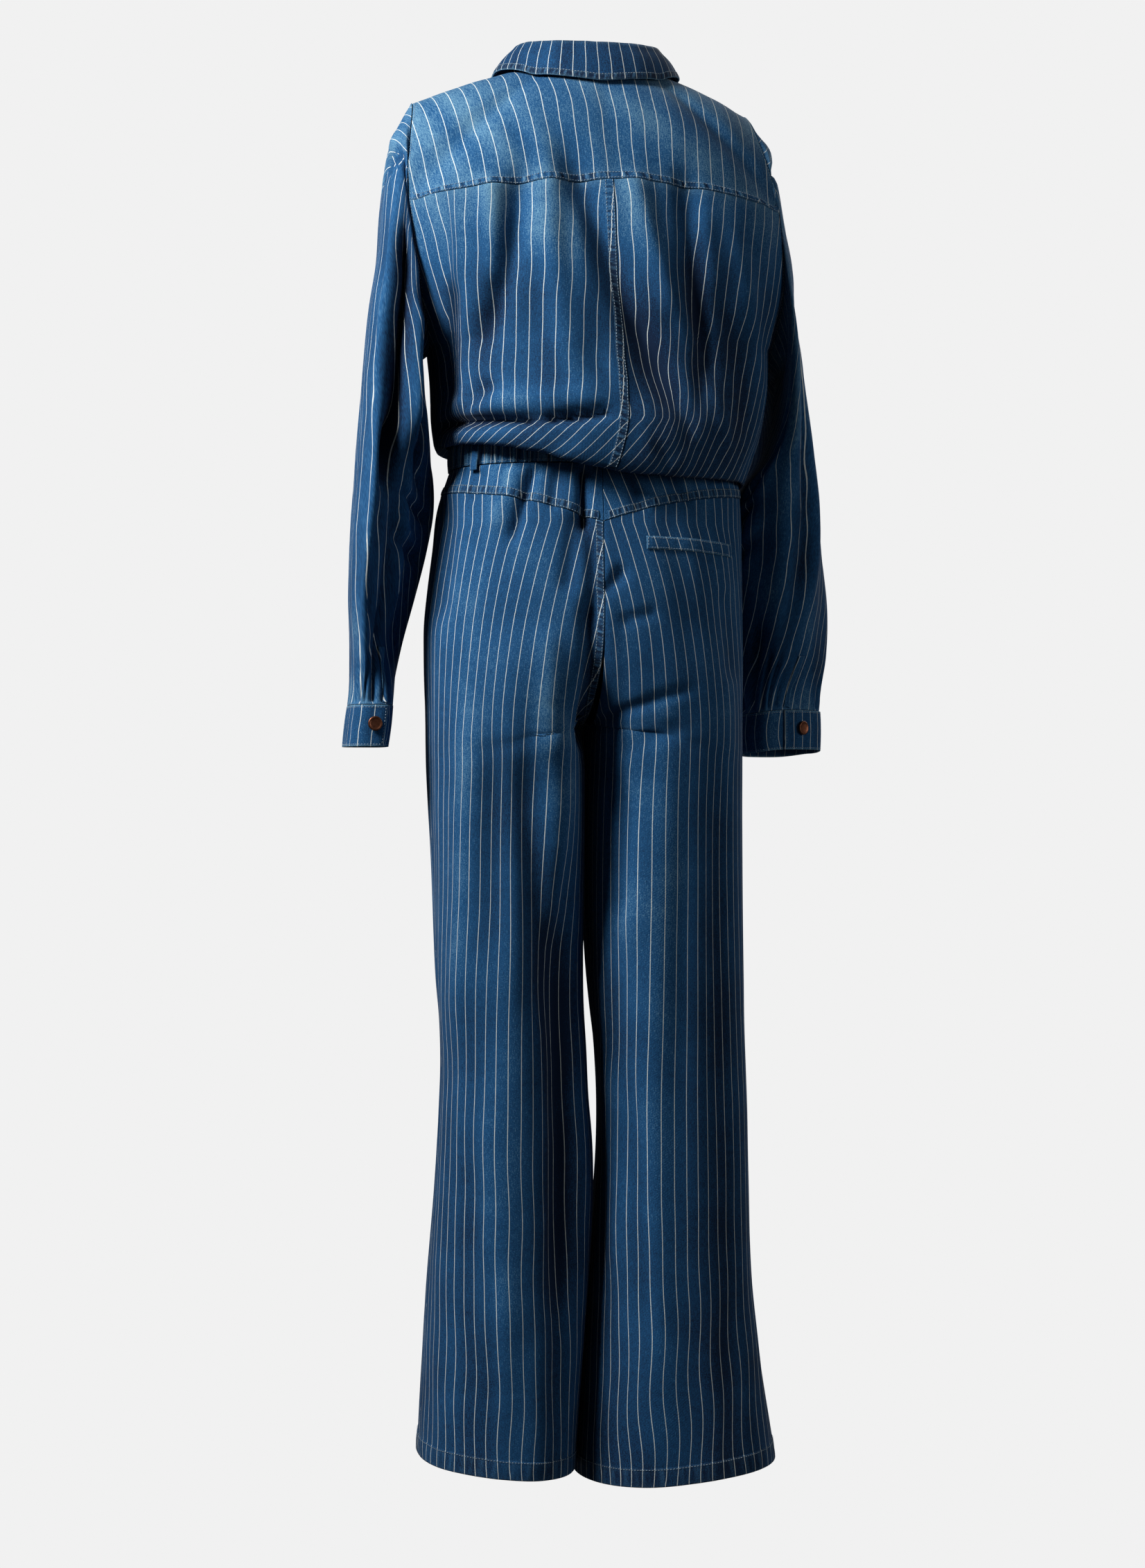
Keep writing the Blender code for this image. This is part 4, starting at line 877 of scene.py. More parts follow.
    def ripple(self, amount: float, pitch: float, seed: int, strength: Array | float = 1.0,
               slant: float = 0.0) -> None:
        """Raise soft uneven waves that run down the cloth."""
        wave = wander(self.across + slant * self.down, pitch, seed)
        wave = wave * (0.6 + 0.4 * wander(self.down, pitch * 9.0, seed + 1))
        self.points = self.points + self.normals() * (amount * wave * strength)[..., None]

    def distance(self, edge: Edge) -> Array:
        """Each point's distance from an edge, along the grid."""
        axis, last = edge.value
        arc = lengths(self.points, axis)
        return (arc[-1:] if axis == 0 else arc[:, -1:]) - arc if last else arc

    def inside(self, reach: float, over: tuple[Edge, ...] = ()) -> Array:
        """0 at the panel's edges, apart from those left open, rising to 1 inside them."""
        away = [self.distance(edge) for edge in Edge if edge not in over]
        return ease(np.minimum.reduce(away) / reach)

    def rub(self, width: float, amount: float, *edges: Edge) -> None:
        """Wear the cloth pale along edges."""
        for edge in edges:
            near = 1.0 - ease(self.distance(edge) / width)
            self.wear = np.maximum(self.wear, amount * near)

    def beside(self, edge: Edge, offset: float, step: float = 2.0 * MM, begin: float = 0.0,
               end: float = 1.0) -> tuple[Array, Array]:
        """A line that runs along an edge at a distance inside it.

        Args:
            edge: the edge.
            offset: the distance.
            step: spacing of the line's points.
            begin: share of the edge at which the line starts.
            end: share of it at which the line ends.

        Returns:
            Rows and columns, whole or between the grid's own.
        """
        axis, last = edge.value
        arc = self.distance(edge) if axis == 0 else self.distance(edge).T
        count = len(arc)
        inward = np.array([np.interp(offset, line, np.arange(count))
                           for line in arc[::-1 if last else 1].T])
        inward = count - 1 - inward if last else inward
        index = np.arange(len(inward), dtype=float)
        rows, columns = (inward, index) if axis == 0 else (index, inward)
        length = lengths(self.read(rows, columns))
        total = length[-1]
        at = np.linspace(begin * total, end * total, max(3, round((end - begin) * total / step)))
        return np.interp(at, length, rows), np.interp(at, length, columns)

    def sample(self, values: Array, rows: Array, columns: Array) -> Array:
        """Read any array of the grid between its points."""
        row, column = (np.clip(at.astype(int), 0, size - 2)
                       for at, size in zip((rows, columns), values.shape))
        row_part, column_part = rows - row, columns - column
        if values.ndim == 3:
            row_part, column_part = row_part[..., None], column_part[..., None]
        upper, lower = (mix(values[line, column], values[line, column + 1], column_part)
                        for line in (row, row + 1))
        return mix(upper, lower, row_part)

    def facing(self, rows: Array, columns: Array) -> Array:
        """Unit normals between the grid's points."""
        return unit(self.sample(self.normals(), rows, columns))

    def read(self, rows: Array, columns: Array, lift: Array | float = 0.0) -> Array:
        """Points on the panel, moved out of it by a lift."""
        spots = self.sample(self.points, rows, columns)
        if np.any(lift):
            spots = spots + self.facing(rows, columns) * np.asarray(lift)[..., None]
        return spots

    def overlay(self, rows: Array, columns: Array, lift: Array | float) -> "Panel":
        """A panel that lies on this one, with this one's stripes running on over it."""
        return Panel(self.read(rows, columns, lift), self.sample(self.across, rows, columns),
                     self.sample(self.down, rows, columns), flip=self.flip)

    def strip(self, edge: Edge, near: float, far: float, lift: float, seed: int,
              begin: float = 0.0, end: float = 1.0, pucker: float = 0.45 * MM,
              pitch: float = 5.0 * MM, step: float = 1.4 * MM, worn: float = 1.0) -> "Panel":
        """A felled strip that lies along an edge, puckered by its stitches.

        Args:
            edge: the edge of this panel.
            near: distance of the strip's first side from the edge.
            far: distance of its other side.
            lift: how far it stands out of this panel.
            seed: which uneven puckers.
            begin: share of the edge at which it starts.
            end: share at which it ends.
            pucker: the puckers' height.
            pitch: their mean spacing.
            step: spacing of the points along the strip.
            worn: how strongly wash and wear follow the puckers.

        Returns:
            The strip.
        """
        lines = [self.beside(edge, mix(near, far, share), step, begin, end)
                 for share in STRIP_SHARES]
        even = np.linspace(0.0, 1.0, max(len(rows) for rows, _ in lines))
        rows, columns = (np.array([np.interp(even, np.linspace(0.0, 1.0, len(line)), line)
                                   for line in part]) for part in zip(*lines))
        axis, last = edge.value
        share = STRIP_SHARES[:, None]
        along = even * (end - begin) * np.ptp(self.down if axis == 1 else self.across)
        wave = wander(along + 1.6 * MM * share, pitch, seed)
        crown = np.sin(math.pi * np.clip(share, 0.03, 0.97))**0.6
        strip = self.overlay(rows, columns,
                             lift * (0.55 + 0.45 * crown) + pucker * wave * crown)
        strip.across = strip.across + 0.5 * MM * wave * crown
        strip.wash = (self.sample(self.wash + self.crease_fade_and_shade, rows, columns)
                      + worn * (0.26 * wave * crown - 0.20))
        strip.wear = worn * (0.22 * (1.0 - crown) + 0.30 * np.clip(wave, 0.0, 1.0))
        strip.flip = self.flip ^ (axis == 1) ^ last
        return strip

    def build(self, name: str, wall: float) -> bpy.types.Object:
        """Make the panel's object, a thin wall of cloth.

        Args:
            name: the piece's name.
            wall: its thickness.

        Returns:
            The object, with its place on the flat cloth, its wash with painted shade and light,
            and wear.
        """
        index = np.arange(self.wear.size).reshape(self.wear.shape)
        corners = [index[:-1, :-1], index[1:, :-1], index[1:, 1:], index[:-1, 1:]]
        faces = np.stack(corners, axis=-1).reshape(-1, 4)
        if self.flip:
            faces = faces[:, ::-1]
        item = mesh_object(name, self.points.reshape(-1, 3), faces.tolist(), DENIM.material())
        mesh = item.data
        loops = np.empty(len(mesh.loops), dtype=np.int32)
        mesh.loops.foreach_get("vertex_index", loops)
        flat = np.stack([self.across, self.down], axis=-1).reshape(-1, 2)[loops]
        if self.other_across is not None:
            # Past a fold line whole faces follow the other run of stripes, so that none bend.
            beyond = np.repeat(self.other_here.ravel()[faces].mean(axis=1) > 0.5, 4)
            flat[beyond, 0] = self.other_across.ravel()[loops[beyond]]
        mesh.uv_layers.new(name="cloth").data.foreach_set("uv", flat.astype(np.float32).ravel())
        for key, values in (("wash", self.wash + self.crease_fade_and_shade), ("wear", self.wear)):
            layer = mesh.attributes.new(key, "FLOAT", "POINT")
            layer.data.foreach_set("value", values.astype(np.float32).ravel())
        skin = item.modifiers.new("wall", "SOLIDIFY")
        skin.thickness = wall
        skin.offset = 0.0
        return item

    def cut(self) -> tuple[tuple[float, float], float]:
        """The flat cut: its greatest width and length along the cloth, and its area."""
        wide = lengths(self.points, 1)[:, -1].max()
        long = lengths(self.points)[-1].max()
        corner = self.points[:-1, :-1]
        across = self.points[:-1, 1:] - corner
        down = self.points[1:, :-1] - corner
        area = np.linalg.norm(np.cross(across, down), axis=-1).sum()
        return (float(wide), float(long)), float(area)


def stitches(name: str, seams: list[tuple[Array, Array]]) -> bpy.types.Object:
    """Rows of stitches as tapered lengths of thread.

    Args:
        name: the piece's name.
        seams: each row's points, and the cloth's normals at them.

    Returns:
        One object with every stitch.
    """
    verts, faces = [], []
    thick = THREAD.thick
    ring = np.array([(-1.0, 0.0), (0.0, 0.8), (1.0, 0.0), (0.0, -0.4)]) * thick / 2.0
    for line, facing in seams:
        arc = lengths(line)
        for number in range(int(arc[-1] / THREAD.pitch)):
            at = (number + 0.5) * THREAD.pitch
            ends = [on_line(line, arc, at + share * THREAD.long)
                    for share in (-0.5, -0.25, 0.25, 0.5)]
            out = unit(on_line(facing, arc, at))
            beside = unit(np.cross(ends[3] - ends[0], out))
            base = len(verts)
            verts.append(ends[0] - 0.2 * thick * out)
            for centre in ends[1:3]:
                verts.extend(centre + x * beside + z * out for x, z in ring)
            verts.append(ends[3] - 0.2 * thick * out)
            for i in range(4):
                near, far = base + 1 + i, base + 1 + (i + 1) % 4
                faces.append((base, far, near))
                faces.append((near, far, far + 4, near + 4))
                faces.append((near + 4, far + 4, base + 9))
    return mesh_object(name, np.array(verts), faces, THREAD.material())


@dataclass
class Piece:
    """A cloth piece on its way into the scene, with what is sewn on it."""

    name: str
    panel: Panel
    held: str = "draped"
    rests_on: tuple[str, ...] = ()
    wall: float = WALL
    slot: str = "denim"
    seams: list[tuple[Array, Array]] = field(default_factory=list)
    extras: list[bpy.types.Object] = field(default_factory=list)

    def lay(self, word: str, strip: Panel) -> None:
        """Add a seam strip that lies on this piece."""
        self.extras.append(place(strip.build(self.name + "_" + word, STRIP_WALL), self.slot))

    def sew(self, edge: Edge, offset: float, lift: float, begin: float = 0.0,
            end: float = 1.0) -> None:
        """Add a row of stitches along an edge of the piece."""
        line = self.panel.beside(edge, offset, begin=begin, end=end)
        self.seams.append((self.panel.read(*line, lift), self.panel.facing(*line)))

    def fell(self, word: str, edge: Edge, width: float, seed: int, begin: float = 0.0,
             end: float = 1.0, insets: tuple = (1.2 * MM, 1.2 * MM)) -> None:
        """Lay a felled seam's strip along an edge, with its two rows of stitches."""
        self.lay(word, self.panel.strip(edge, 0.2 * MM, width, 0.9 * MM, seed, begin, end))
        for offset in (insets[0], width - insets[1]):
            self.sew(edge, offset, 1.6 * MM, begin, end)

    def stitch(self) -> None:
        """Make the rows of stitches."""
        self.extras.append(place(stitches(self.name + "_stitches", self.seams), "denim"))
        self.seams = []

    def small(self) -> bpy.types.Object:
        """Make the object of a piece that is sewn on a larger one, and put it in its place."""
        return place(self.panel.build(self.name + "_cloth", self.wall), self.slot, self.name)

    def finish(self) -> None:
        """Make the object, put it in place of its solid and log its flat cut."""
        if self.seams:
            self.stitch()
        flat, area = self.panel.cut()
        self.small()
        LOG.info("%s: cut %.0f x %.0f mm, %.4f m2, %d points, %d extras", self.name,
                 flat[0] * 1000, flat[1] * 1000, area, self.panel.wear.size, len(self.extras))


# ------------------------------------------------------------------ the garment's parts
@dataclass
class Bodice:
    """Yoke, backs and fronts."""

    back_columns: int = 8
    over_columns: int = 6
    neckline_columns: int = 6
    shoulder_columns: int = 4
    crown_top: float = 0.020
    crown_back: float = 0.011
    bib_crown: float = 0.008
    yoke_band: float = 8.0 * MM
    centre_band: float = 9.5 * MM
    centre_band_end: float = 0.86
    fold_x: float = 0.146
    yoke_way: Array = field(default_factory=lambda: np.array([0.0, 0.95, 0.30]))
    bib_way: Array = field(default_factory=lambda: np.array([0.0, -0.80, 0.60]))

    def yoke_coarse(self) -> Array:
        """Yoke: columns run from the left front seam over the back to the right one."""
        outer, inner, crown = [], [], []
        corner = float(FORM.armhole_angle(FORM.yoke_seam(1.0)))
        for side in Side:
            over = np.linspace(0.0, 1.0, self.over_columns + 1)[:-1]
            share = np.linspace(1.0, 0.0, self.back_columns + 1)
            edge = np.concatenate([
                FORM.armhole(side, mix(FORM.front_corner, corner, over)),
                FORM.body(side, "back", share, FORM.yoke_seam(share))])
            around = np.concatenate([mix(FORM.neck_at_front, FORM.neck_at_back, over),
                                     FORM.neck_at_back * share])
            lift = np.concatenate([self.crown_top * ease(over),
                                   mix(self.crown_back, self.crown_top, share)])
            if side < 0:
                edge, around, lift = edge[-2::-1], around[-2::-1], lift[-2::-1]
            outer.append(edge)
            inner.append(FORM.neck(side * around))
            crown.append(lift)
        outer, inner, crown = (np.concatenate(part) for part in (outer, inner, crown))
        rows = []
        for down in np.linspace(0.0, 1.0, 6):
            lift = (4.0 * down * (1.0 - down) * crown)[:, None] * self.yoke_way
            rows.append(mix(inner, outer, down) + lift)
        return np.array(rows)

    def back_coarse(self, side: Side) -> Array:
        """Back: rows from the yoke seam down to the waist seam."""
        share = np.linspace(0.0, 1.0, self.back_columns + 1)
        top = FORM.yoke_seam(share)
        rows = [FORM.body(side, "back", share, mix(top, FORM.arm_low, f))
                for f in (0.0, 0.17, 0.34, 0.51, 0.68, 0.82, 0.93, 1.0)]
        rows.append(FORM.body(side, "back", share, FORM.chest_drop))
        return np.array(rows + FORM.blouse(side, "back", share))

    def front_shares(self) -> Array:
        """Columns of a front, from the centre (0) to the armhole (1)."""
        return np.concatenate([
            np.linspace(0.0, FORM.bib_bend, self.neckline_columns + 1),
            np.linspace(FORM.bib_bend, 1.0, self.shoulder_columns + 1)[1:]])

    def front_coarse(self, side: Side) -> Array:
        """Front: rows from the neckline and shoulder down to the waist seam."""
        share = self.front_shares()
        bend = FORM.bib_bend
        neckline = FORM.neck(side * mix(180.0, FORM.neck_at_front, np.minimum(share / bend, 1.0)))
        shoulder = mix(FORM.neck(side * FORM.neck_at_front),
                       FORM.armhole(side, FORM.front_corner),
                       np.clip((share - bend) / (1.0 - bend), 0.0, 1.0)[:, None])
        top = np.where((share <= bend)[:, None], neckline, shoulder)
        join = FORM.body(side, "front", share, np.full_like(share, FORM.bib_drop))
        bib_angle = -FORM.armhole_angle(FORM.bib_drop)
        rows = []
        for up in (1.0, 0.75, 0.5, 0.25):
            row = mix(join, top, up)
            crown = 4.0 * up * (1.0 - up) * self.bib_crown
            row = row + crown * self.bib_way * (1.0 - share**2)[:, None]
            edge = FORM.armhole(side, mix(bib_angle, FORM.front_corner, up))
            rows.append(row + (share**3)[:, None] * (edge - row[-1]))
        rows += [FORM.body(side, "front", share, mix(FORM.bib_drop, FORM.arm_low,
                                                     np.full_like(share, f)))
                 for f in (0.0, 0.25, 0.5, 0.72, 0.9, 1.0)]
        rows.append(FORM.body(side, "front", share, FORM.chest_drop))
        return np.array(rows + FORM.blouse(side, "front", share))

    def make_yoke(self) -> None:
        """Build the back yoke with its double-stitched lower edge."""
        panel = Panel.refine(self.yoke_coarse(), grain=0.5)
        x, drop = panel.x, panel.drop
        panel.across = x + (0.06 + 0.13 * x / 0.19) * (drop - FORM.yoke_drop)
        panel.sway(0.6 * MM, 0.09, 11)
        inside = panel.inside(0.02)
        panel.press(BACK_CREASES,
                    panel.inside(0.02, (Edge.BOTTOM,)) * ease(panel.points[..., 1] / 0.04))
        panel.ripple(0.5 * MM, 0.055, 12, inside)
        panel.wash = (0.55 + 0.08 * ease(x / 0.15)
                      + 0.10 * wander(panel.across + panel.down, 0.11, 13))
        panel.rub(0.016, 0.35, Edge.BOTTOM)
        panel.keep_back(top=NECK_GAP)
        piece = Piece("back_yoke", panel, "draped", ("collar",), slot="denim_washed")
        begin, end = self.back_edge_shares(panel)
        piece.fell("band", Edge.BOTTOM, self.yoke_band, 21, begin, end, (1.4 * MM, 1.1 * MM))
        for front in ((0.0, begin), (end, 1.0)):
            piece.sew(Edge.BOTTOM, 2.0 * MM, 0.6 * MM, *front)
        piece.finish()

    def back_edge_shares(self, panel: Panel) -> tuple[float, float]:
        """Where the yoke's lower edge lies on the backs, as shares of that edge."""
        arc = lengths(panel.points[-1])
        corners = [self.over_columns, self.over_columns + 2 * self.back_columns]
        return tuple(float(np.interp(c, panel.column_at, arc) / arc[-1]) for c in corners)

    def make_back(self, side: Side) -> None:
        """Build one back with its share of the felled centre seam."""
        panel = Panel.refine(self.back_coarse(side))
        x, drop = panel.x, panel.drop
        self.lay_stripes(panel, side)
        panel.sway(0.9 * MM, 0.085, 31 + side)
        inside = panel.inside(0.022)
        panel.press(BACK_CREASES, panel.inside(0.022, (Edge.TOP, Edge.FIRST))
                    * ease(panel.points[..., 1] / 0.04))
        panel.ripple(0.7 * MM, 0.06, 33 + side, inside, slant=0.3)
        panel.wash = (0.62 + 0.06 * wander(panel.across, 0.06, 35 + side)
                      - 0.33 * ease((drop - 0.13) / 0.12))
        if side is Side.RIGHT:
            # Painted shade darkens the cloth between the centre seam and the armhole.
            panel.wash = panel.wash - 0.14 * ease((0.02 - x) / 0.09) * ease((0.165 + x) / 0.03)
        panel.rub(0.010, 0.25, Edge.TOP)
        panel.keep_back(bottom=0.0)
        piece = Piece("bodice_back_" + side.word, panel, "hung", ("back_yoke",))
        if side is Side.LEFT:
            piece.fell("band", Edge.FIRST, self.centre_band, 41, end=self.centre_band_end)
        piece.sew(Edge.LAST, 1.8 * MM, 0.6 * MM, 0.0, 0.45)
        piece.finish()

    def lay_stripes(self, panel: Panel, side: Side) -> None:
        """Lead a back's stripes: fanned, drawn into the side fold and slanted on the roll."""
        below = panel.drop - FORM.yoke_drop
        away = panel.across
        roll = ease((panel.down - 0.238) / 0.012) * (panel.down - 0.238)
        if side is Side.LEFT:
            # Outside the fold the stripes slant towards it, and it swallows them.
            outside = ease((panel.x - self.fold_x + 0.03 * (panel.drop - 0.25)) / 0.009)
            panel.across = (away - 0.09 * below - 0.72 * roll
                            + 0.26 * np.clip(panel.drop - 0.10, 0.0, 0.19) * outside)
        else:
            outer = ease((away - 0.015) / 0.09)
            near = 1.0 - ease((away - 0.02) / 0.08)
            panel.across = (away + 0.20 * outer * below - 0.02 * below * (1.0 - outer)
                            - 0.010 * near * ease((panel.drop - 0.29) / 0.06)
                            + (0.55 * near + 0.10) * roll)

    def make_front(self, side: Side) -> Panel:
        """Build one front, plainly finished."""
        panel = Panel.refine(self.front_coarse(side))
        panel.across = (side * panel.x + 0.10 * (panel.drop - 0.12)
                        + 0.35 * np.abs(panel.points[..., 1] + 0.10))
        panel.sway(0.9 * MM, 0.09, 51 + side)
        inside = panel.inside(0.022)
        panel.press(FRONT_CREASES, inside)
        panel.ripple(0.7 * MM, 0.06, 53 + side, inside, slant=0.2)
        panel.wash = 0.50 + 0.08 * wander(panel.across, 0.07, 55 + side)
        shares = self.front_shares()
        join = np.interp(panel.column_at, np.arange(len(shares)), shares)
        panel.keep_back(np.where(join <= FORM.bib_bend, NECK_GAP, SEAM_GAP)[:, None], 0.0)
        piece = Piece("bodice_front_" + side.word, panel, "hung", ("back_yoke",))
        piece.sew(Edge.LAST, 1.8 * MM, 0.6 * MM, 0.0, 0.5)
        piece.finish()
        return panel


@dataclass
class Collar:
    """The shirt collar: stand, fold and fall in one piece."""

    end: float = 176.0
    stand_back: float = 0.0270
    stand_side: float = 0.0230
    stand_front: float = 0.0040
    fall_back: float = 0.0240
    fall_front: float = 0.0520
    points_apart: float = 0.0170
    off_back: float = 0.0042
    off_front: float = 0.0062
    off_more: float = 0.0060
    high_at: float = 118.0
    stitch_in: float = 6.5 * MM
    fold_row: float = 3.0

    def away(self, angle: float, bodice: Bodice) -> Array:
        """The direction in which the cloth leaves the neck seam."""
        side = 1 if angle >= 0.0 else -1
        around = abs(angle)
        corner = float(FORM.armhole_angle(FORM.yoke_seam(1.0)))
        seam = FORM.neck(angle)
        if around <= FORM.neck_at_back:
            share = around / FORM.neck_at_back
            way = FORM.body(side, "back", share, FORM.yoke_seam(share)) - seam
            way = way + 4.0 * mix(bodice.crown_back, bodice.crown_top, share) * bodice.yoke_way
        elif around <= FORM.neck_at_front:
            over = (FORM.neck_at_front - around) / (FORM.neck_at_front - FORM.neck_at_back)
            way = FORM.armhole(side, mix(FORM.front_corner, corner, over)) - seam
            way = way + 4.0 * bodice.crown_top * ease(over) * bodice.yoke_way
        else:
            share = FORM.bib_bend * (180.0 - around) / (180.0 - FORM.neck_at_front)
            way = FORM.body(side, "front", share, FORM.bib_drop) - seam
            way = way + 4.0 * bodice.bib_crown * bodice.bib_way * (1.0 - share**2)
        return unit(way)

    def coarse(self, bodice: Bodice) -> Array:
        """Columns round the neck, rows up the stand, over the fold and down the fall."""
        behind = np.linspace(0.0, FORM.neck_at_back, 5)
        over = np.linspace(FORM.neck_at_back, FORM.neck_at_front, 7)
        before = np.linspace(FORM.neck_at_front, 180.0, 7)
        half = np.concatenate([behind, over[1:], before[1:-1], [self.end]])
        up = np.array([0.0, 0.0, 1.0])
        columns = []
        for angle in np.concatenate([-half[:0:-1], half]):
            side = 1 if angle >= 0.0 else -1
            around = abs(angle)
            seam = FORM.neck(angle)
            turn = math.radians(angle)
            out = np.array([math.sin(turn), math.cos(turn), 0.0])
            front = float(ease((around - 95.0) / 80.0))
            stand = mix(self.stand_back, self.stand_side, float(ease(around / 90.0)))
            stand = mix(stand, self.stand_front, front)
            fall = mix(self.fall_back, self.fall_front, front)
            along = self.away(angle, bodice)
            normal = 0.8 * out + 0.6 * up
            normal = unit(normal - normal.dot(along) * along)
            apart = self.points_apart * float(ease((around - 125.0) / 50.0))
            high = float(ease(1.0 - abs(around - self.high_at) / 50.0))
            off = mix(self.off_back, self.off_front, front) + self.off_more * high
            edge = seam + along * fall + np.array([side * apart, 0.0, 0.0]) + normal * off
            lean = mix(up, normal, front)
            column = [seam, seam + 0.5 * stand * lean - 0.0006 * out,
                      seam + 0.95 * stand * lean - 0.0004 * out,
                      seam + (stand + 0.0034) * lean + 0.0030 * along,
                      seam + (stand + 0.0004) * lean + 0.0078 * along]
            top = column[-1]
            for down in (0.35, 0.70, 1.00):
                column.append(mix(top, edge, down) + 0.0022 * math.sin(math.pi * down) * normal)
            columns.append(column)
        return np.array(columns).transpose(1, 0, 2)

    def make(self, bodice: Bodice) -> None:
        """Build the collar with its stitched edge."""
        panel = Panel.refine(self.coarse(bodice), grain=0.5, step=3.4 * MM)
        # The stand faces the neck and the fall faces out, so the fall tells which side is out.
        panel.flip = False
        panel.flip = bool(np.sum(panel.normals()[-8, :, :2] * panel.points[-8, :, :2]) < 0.0)
        panel.across = mix(panel.across, panel.across[-1], 0.5)
        panel.sway(0.3 * MM, 0.05, 61)
        panel.ripple(0.25 * MM, 0.03, 62, panel.inside(0.012))
        panel.wash = 0.21 + 0.06 * wander(panel.across, 0.05, 63)
        panel.rub(2.2 * MM, 0.95, Edge.BOTTOM)
        fold = np.exp(-((panel.row_at - self.fold_row) / 0.45)**2)
        panel.wear = np.maximum(panel.wear, 0.25 * fold[:, None])
        piece = Piece("collar", panel, "folded", ("back_yoke",), 1.5 * MM)
        piece.lay("edge", panel.strip(Edge.BOTTOM, 0.3 * MM, self.stitch_in, 0.9 * MM, 64,
                                      0.01, 0.99, pucker=0.2 * MM, pitch=6.0 * MM))
        piece.sew(Edge.BOTTOM, self.stitch_in, 1.1 * MM, 0.02, 0.98)
        piece.finish()


@dataclass
class Waist:
    """The gathered elastic waistband and its belt loops."""

    top: float = 0.3690
    low: float = 0.3985
    gathers: int = 96
    depth: float = 2.3 * MM
    bulge: float = 1.1 * MM
    slack: float = 1.25          # flat cloth for each length that shows
    loop_width: float = 9.0 * MM
    loops: tuple = ((Side.LEFT, "back", 0.68), (Side.RIGHT, "back", 0.68),
                    (Side.LEFT, "front", 0.42), (Side.RIGHT, "front", 0.42))
    loop_profile: tuple = ((.3762, .0032), (.3790, .0042), (.3900, .0046), (.4005, .0045),
                           (.4045, .0034))

    def ring(self, around: Array, drop: Array, grow: Array) -> Array:
        """Points of the waistband by degrees from the centre back, left positive."""
        out = np.zeros((len(around), 3))
        behind = np.abs(around) <= 90.0
        for side in Side:
            for face in ("back", "front"):
                here = (np.sign(around + 1e-9) == side) & (behind == (face == "back"))
                share = np.abs(around[here]) / 90.0
                share = share if face == "back" else 2.0 - share
                out[here] = FORM.ring(side, face, share, np.full(here.sum(), drop), grow[here])
        return out

    def make_band(self) -> None:
        """Build the waistband with uneven gathers."""
        count = self.gathers * 9
        around = np.linspace(-180.0, 180.0, count + 1)
        wave = wander(around, 360.0 / self.gathers, 71)
        lean = 0.6 * wander(around, 9.0, 72) * (np.abs(around) < 179.0)
        shares = np.array([0.0, 0.06, 0.14, 0.26, 0.4, 0.55, 0.7, 0.82, 0.9, 0.96, 1.0])
        grid = np.array([
            self.ring(around + share * lean, mix(self.top, self.low, share),
                      self.depth * wave * (0.45 + 0.55 * crown) + self.bulge * crown)
            for share, crown in zip(shares, np.sin(math.pi * shares))])
        arc = lengths(grid[len(shares) // 2])
        across = np.tile((arc - arc[count // 2]) * self.slack, (len(grid), 1))
        down = np.tile((shares * (self.low - self.top))[:, None], (1, count + 1))
        panel = Panel(grid, across, down)
        panel.face_out()
        # Painted light raises the band's wash against the shadow of the blouse's roll above it,
        # and the wash follows the gathers: painted shade in their folds, paler crests.
        panel.wash = 0.52 + 0.20 * wave
        panel.wear = panel.wear + np.clip(0.25 * wave, 0.0, 1.0)
        piece = Piece("waistband", panel, "gathered", ("hip_yoke_left", "hip_yoke_right"))
        for edge in (Edge.BOTTOM, Edge.TOP):
            piece.sew(edge, 2.4 * MM, 0.7 * MM, 0.004, 0.996)
        piece.stitch()
        piece.extras += [self.make_loop(number, *spot)
                         for number, spot in enumerate(self.loops, 1)]
        piece.finish()

    def make_loop(self, number: int, side: Side, face: str, share: float) -> bpy.types.Object:
        """Build a belt loop, a folded strip that stands off the band."""
        middle = FORM.ring(side, face, share, self.top)
        half = self.loop_width / 2.0 / np.linalg.norm(middle[:2]) / (math.pi / 2.0)
        across = share + half * np.array([-1.0, -0.86, 0.0, 0.86, 1.0])
        bulge = np.array([-0.4, 0.0, 0.35, 0.0, -0.4]) * MM
        coarse = np.array([FORM.ring(side, face, across, np.full(5, drop), off + bulge)
                           for drop, off in self.loop_profile])
        panel = Panel.refine(coarse, step=1.3 * MM, dense=False)
        panel.across = panel.across + 4.0 * MM
        panel.wash = 0.40
        panel.rub(1.5 * MM, 0.8, Edge.FIRST, Edge.LAST)
        return Piece("belt_loop_%d" % number, panel, wall=1.2 * MM).small()


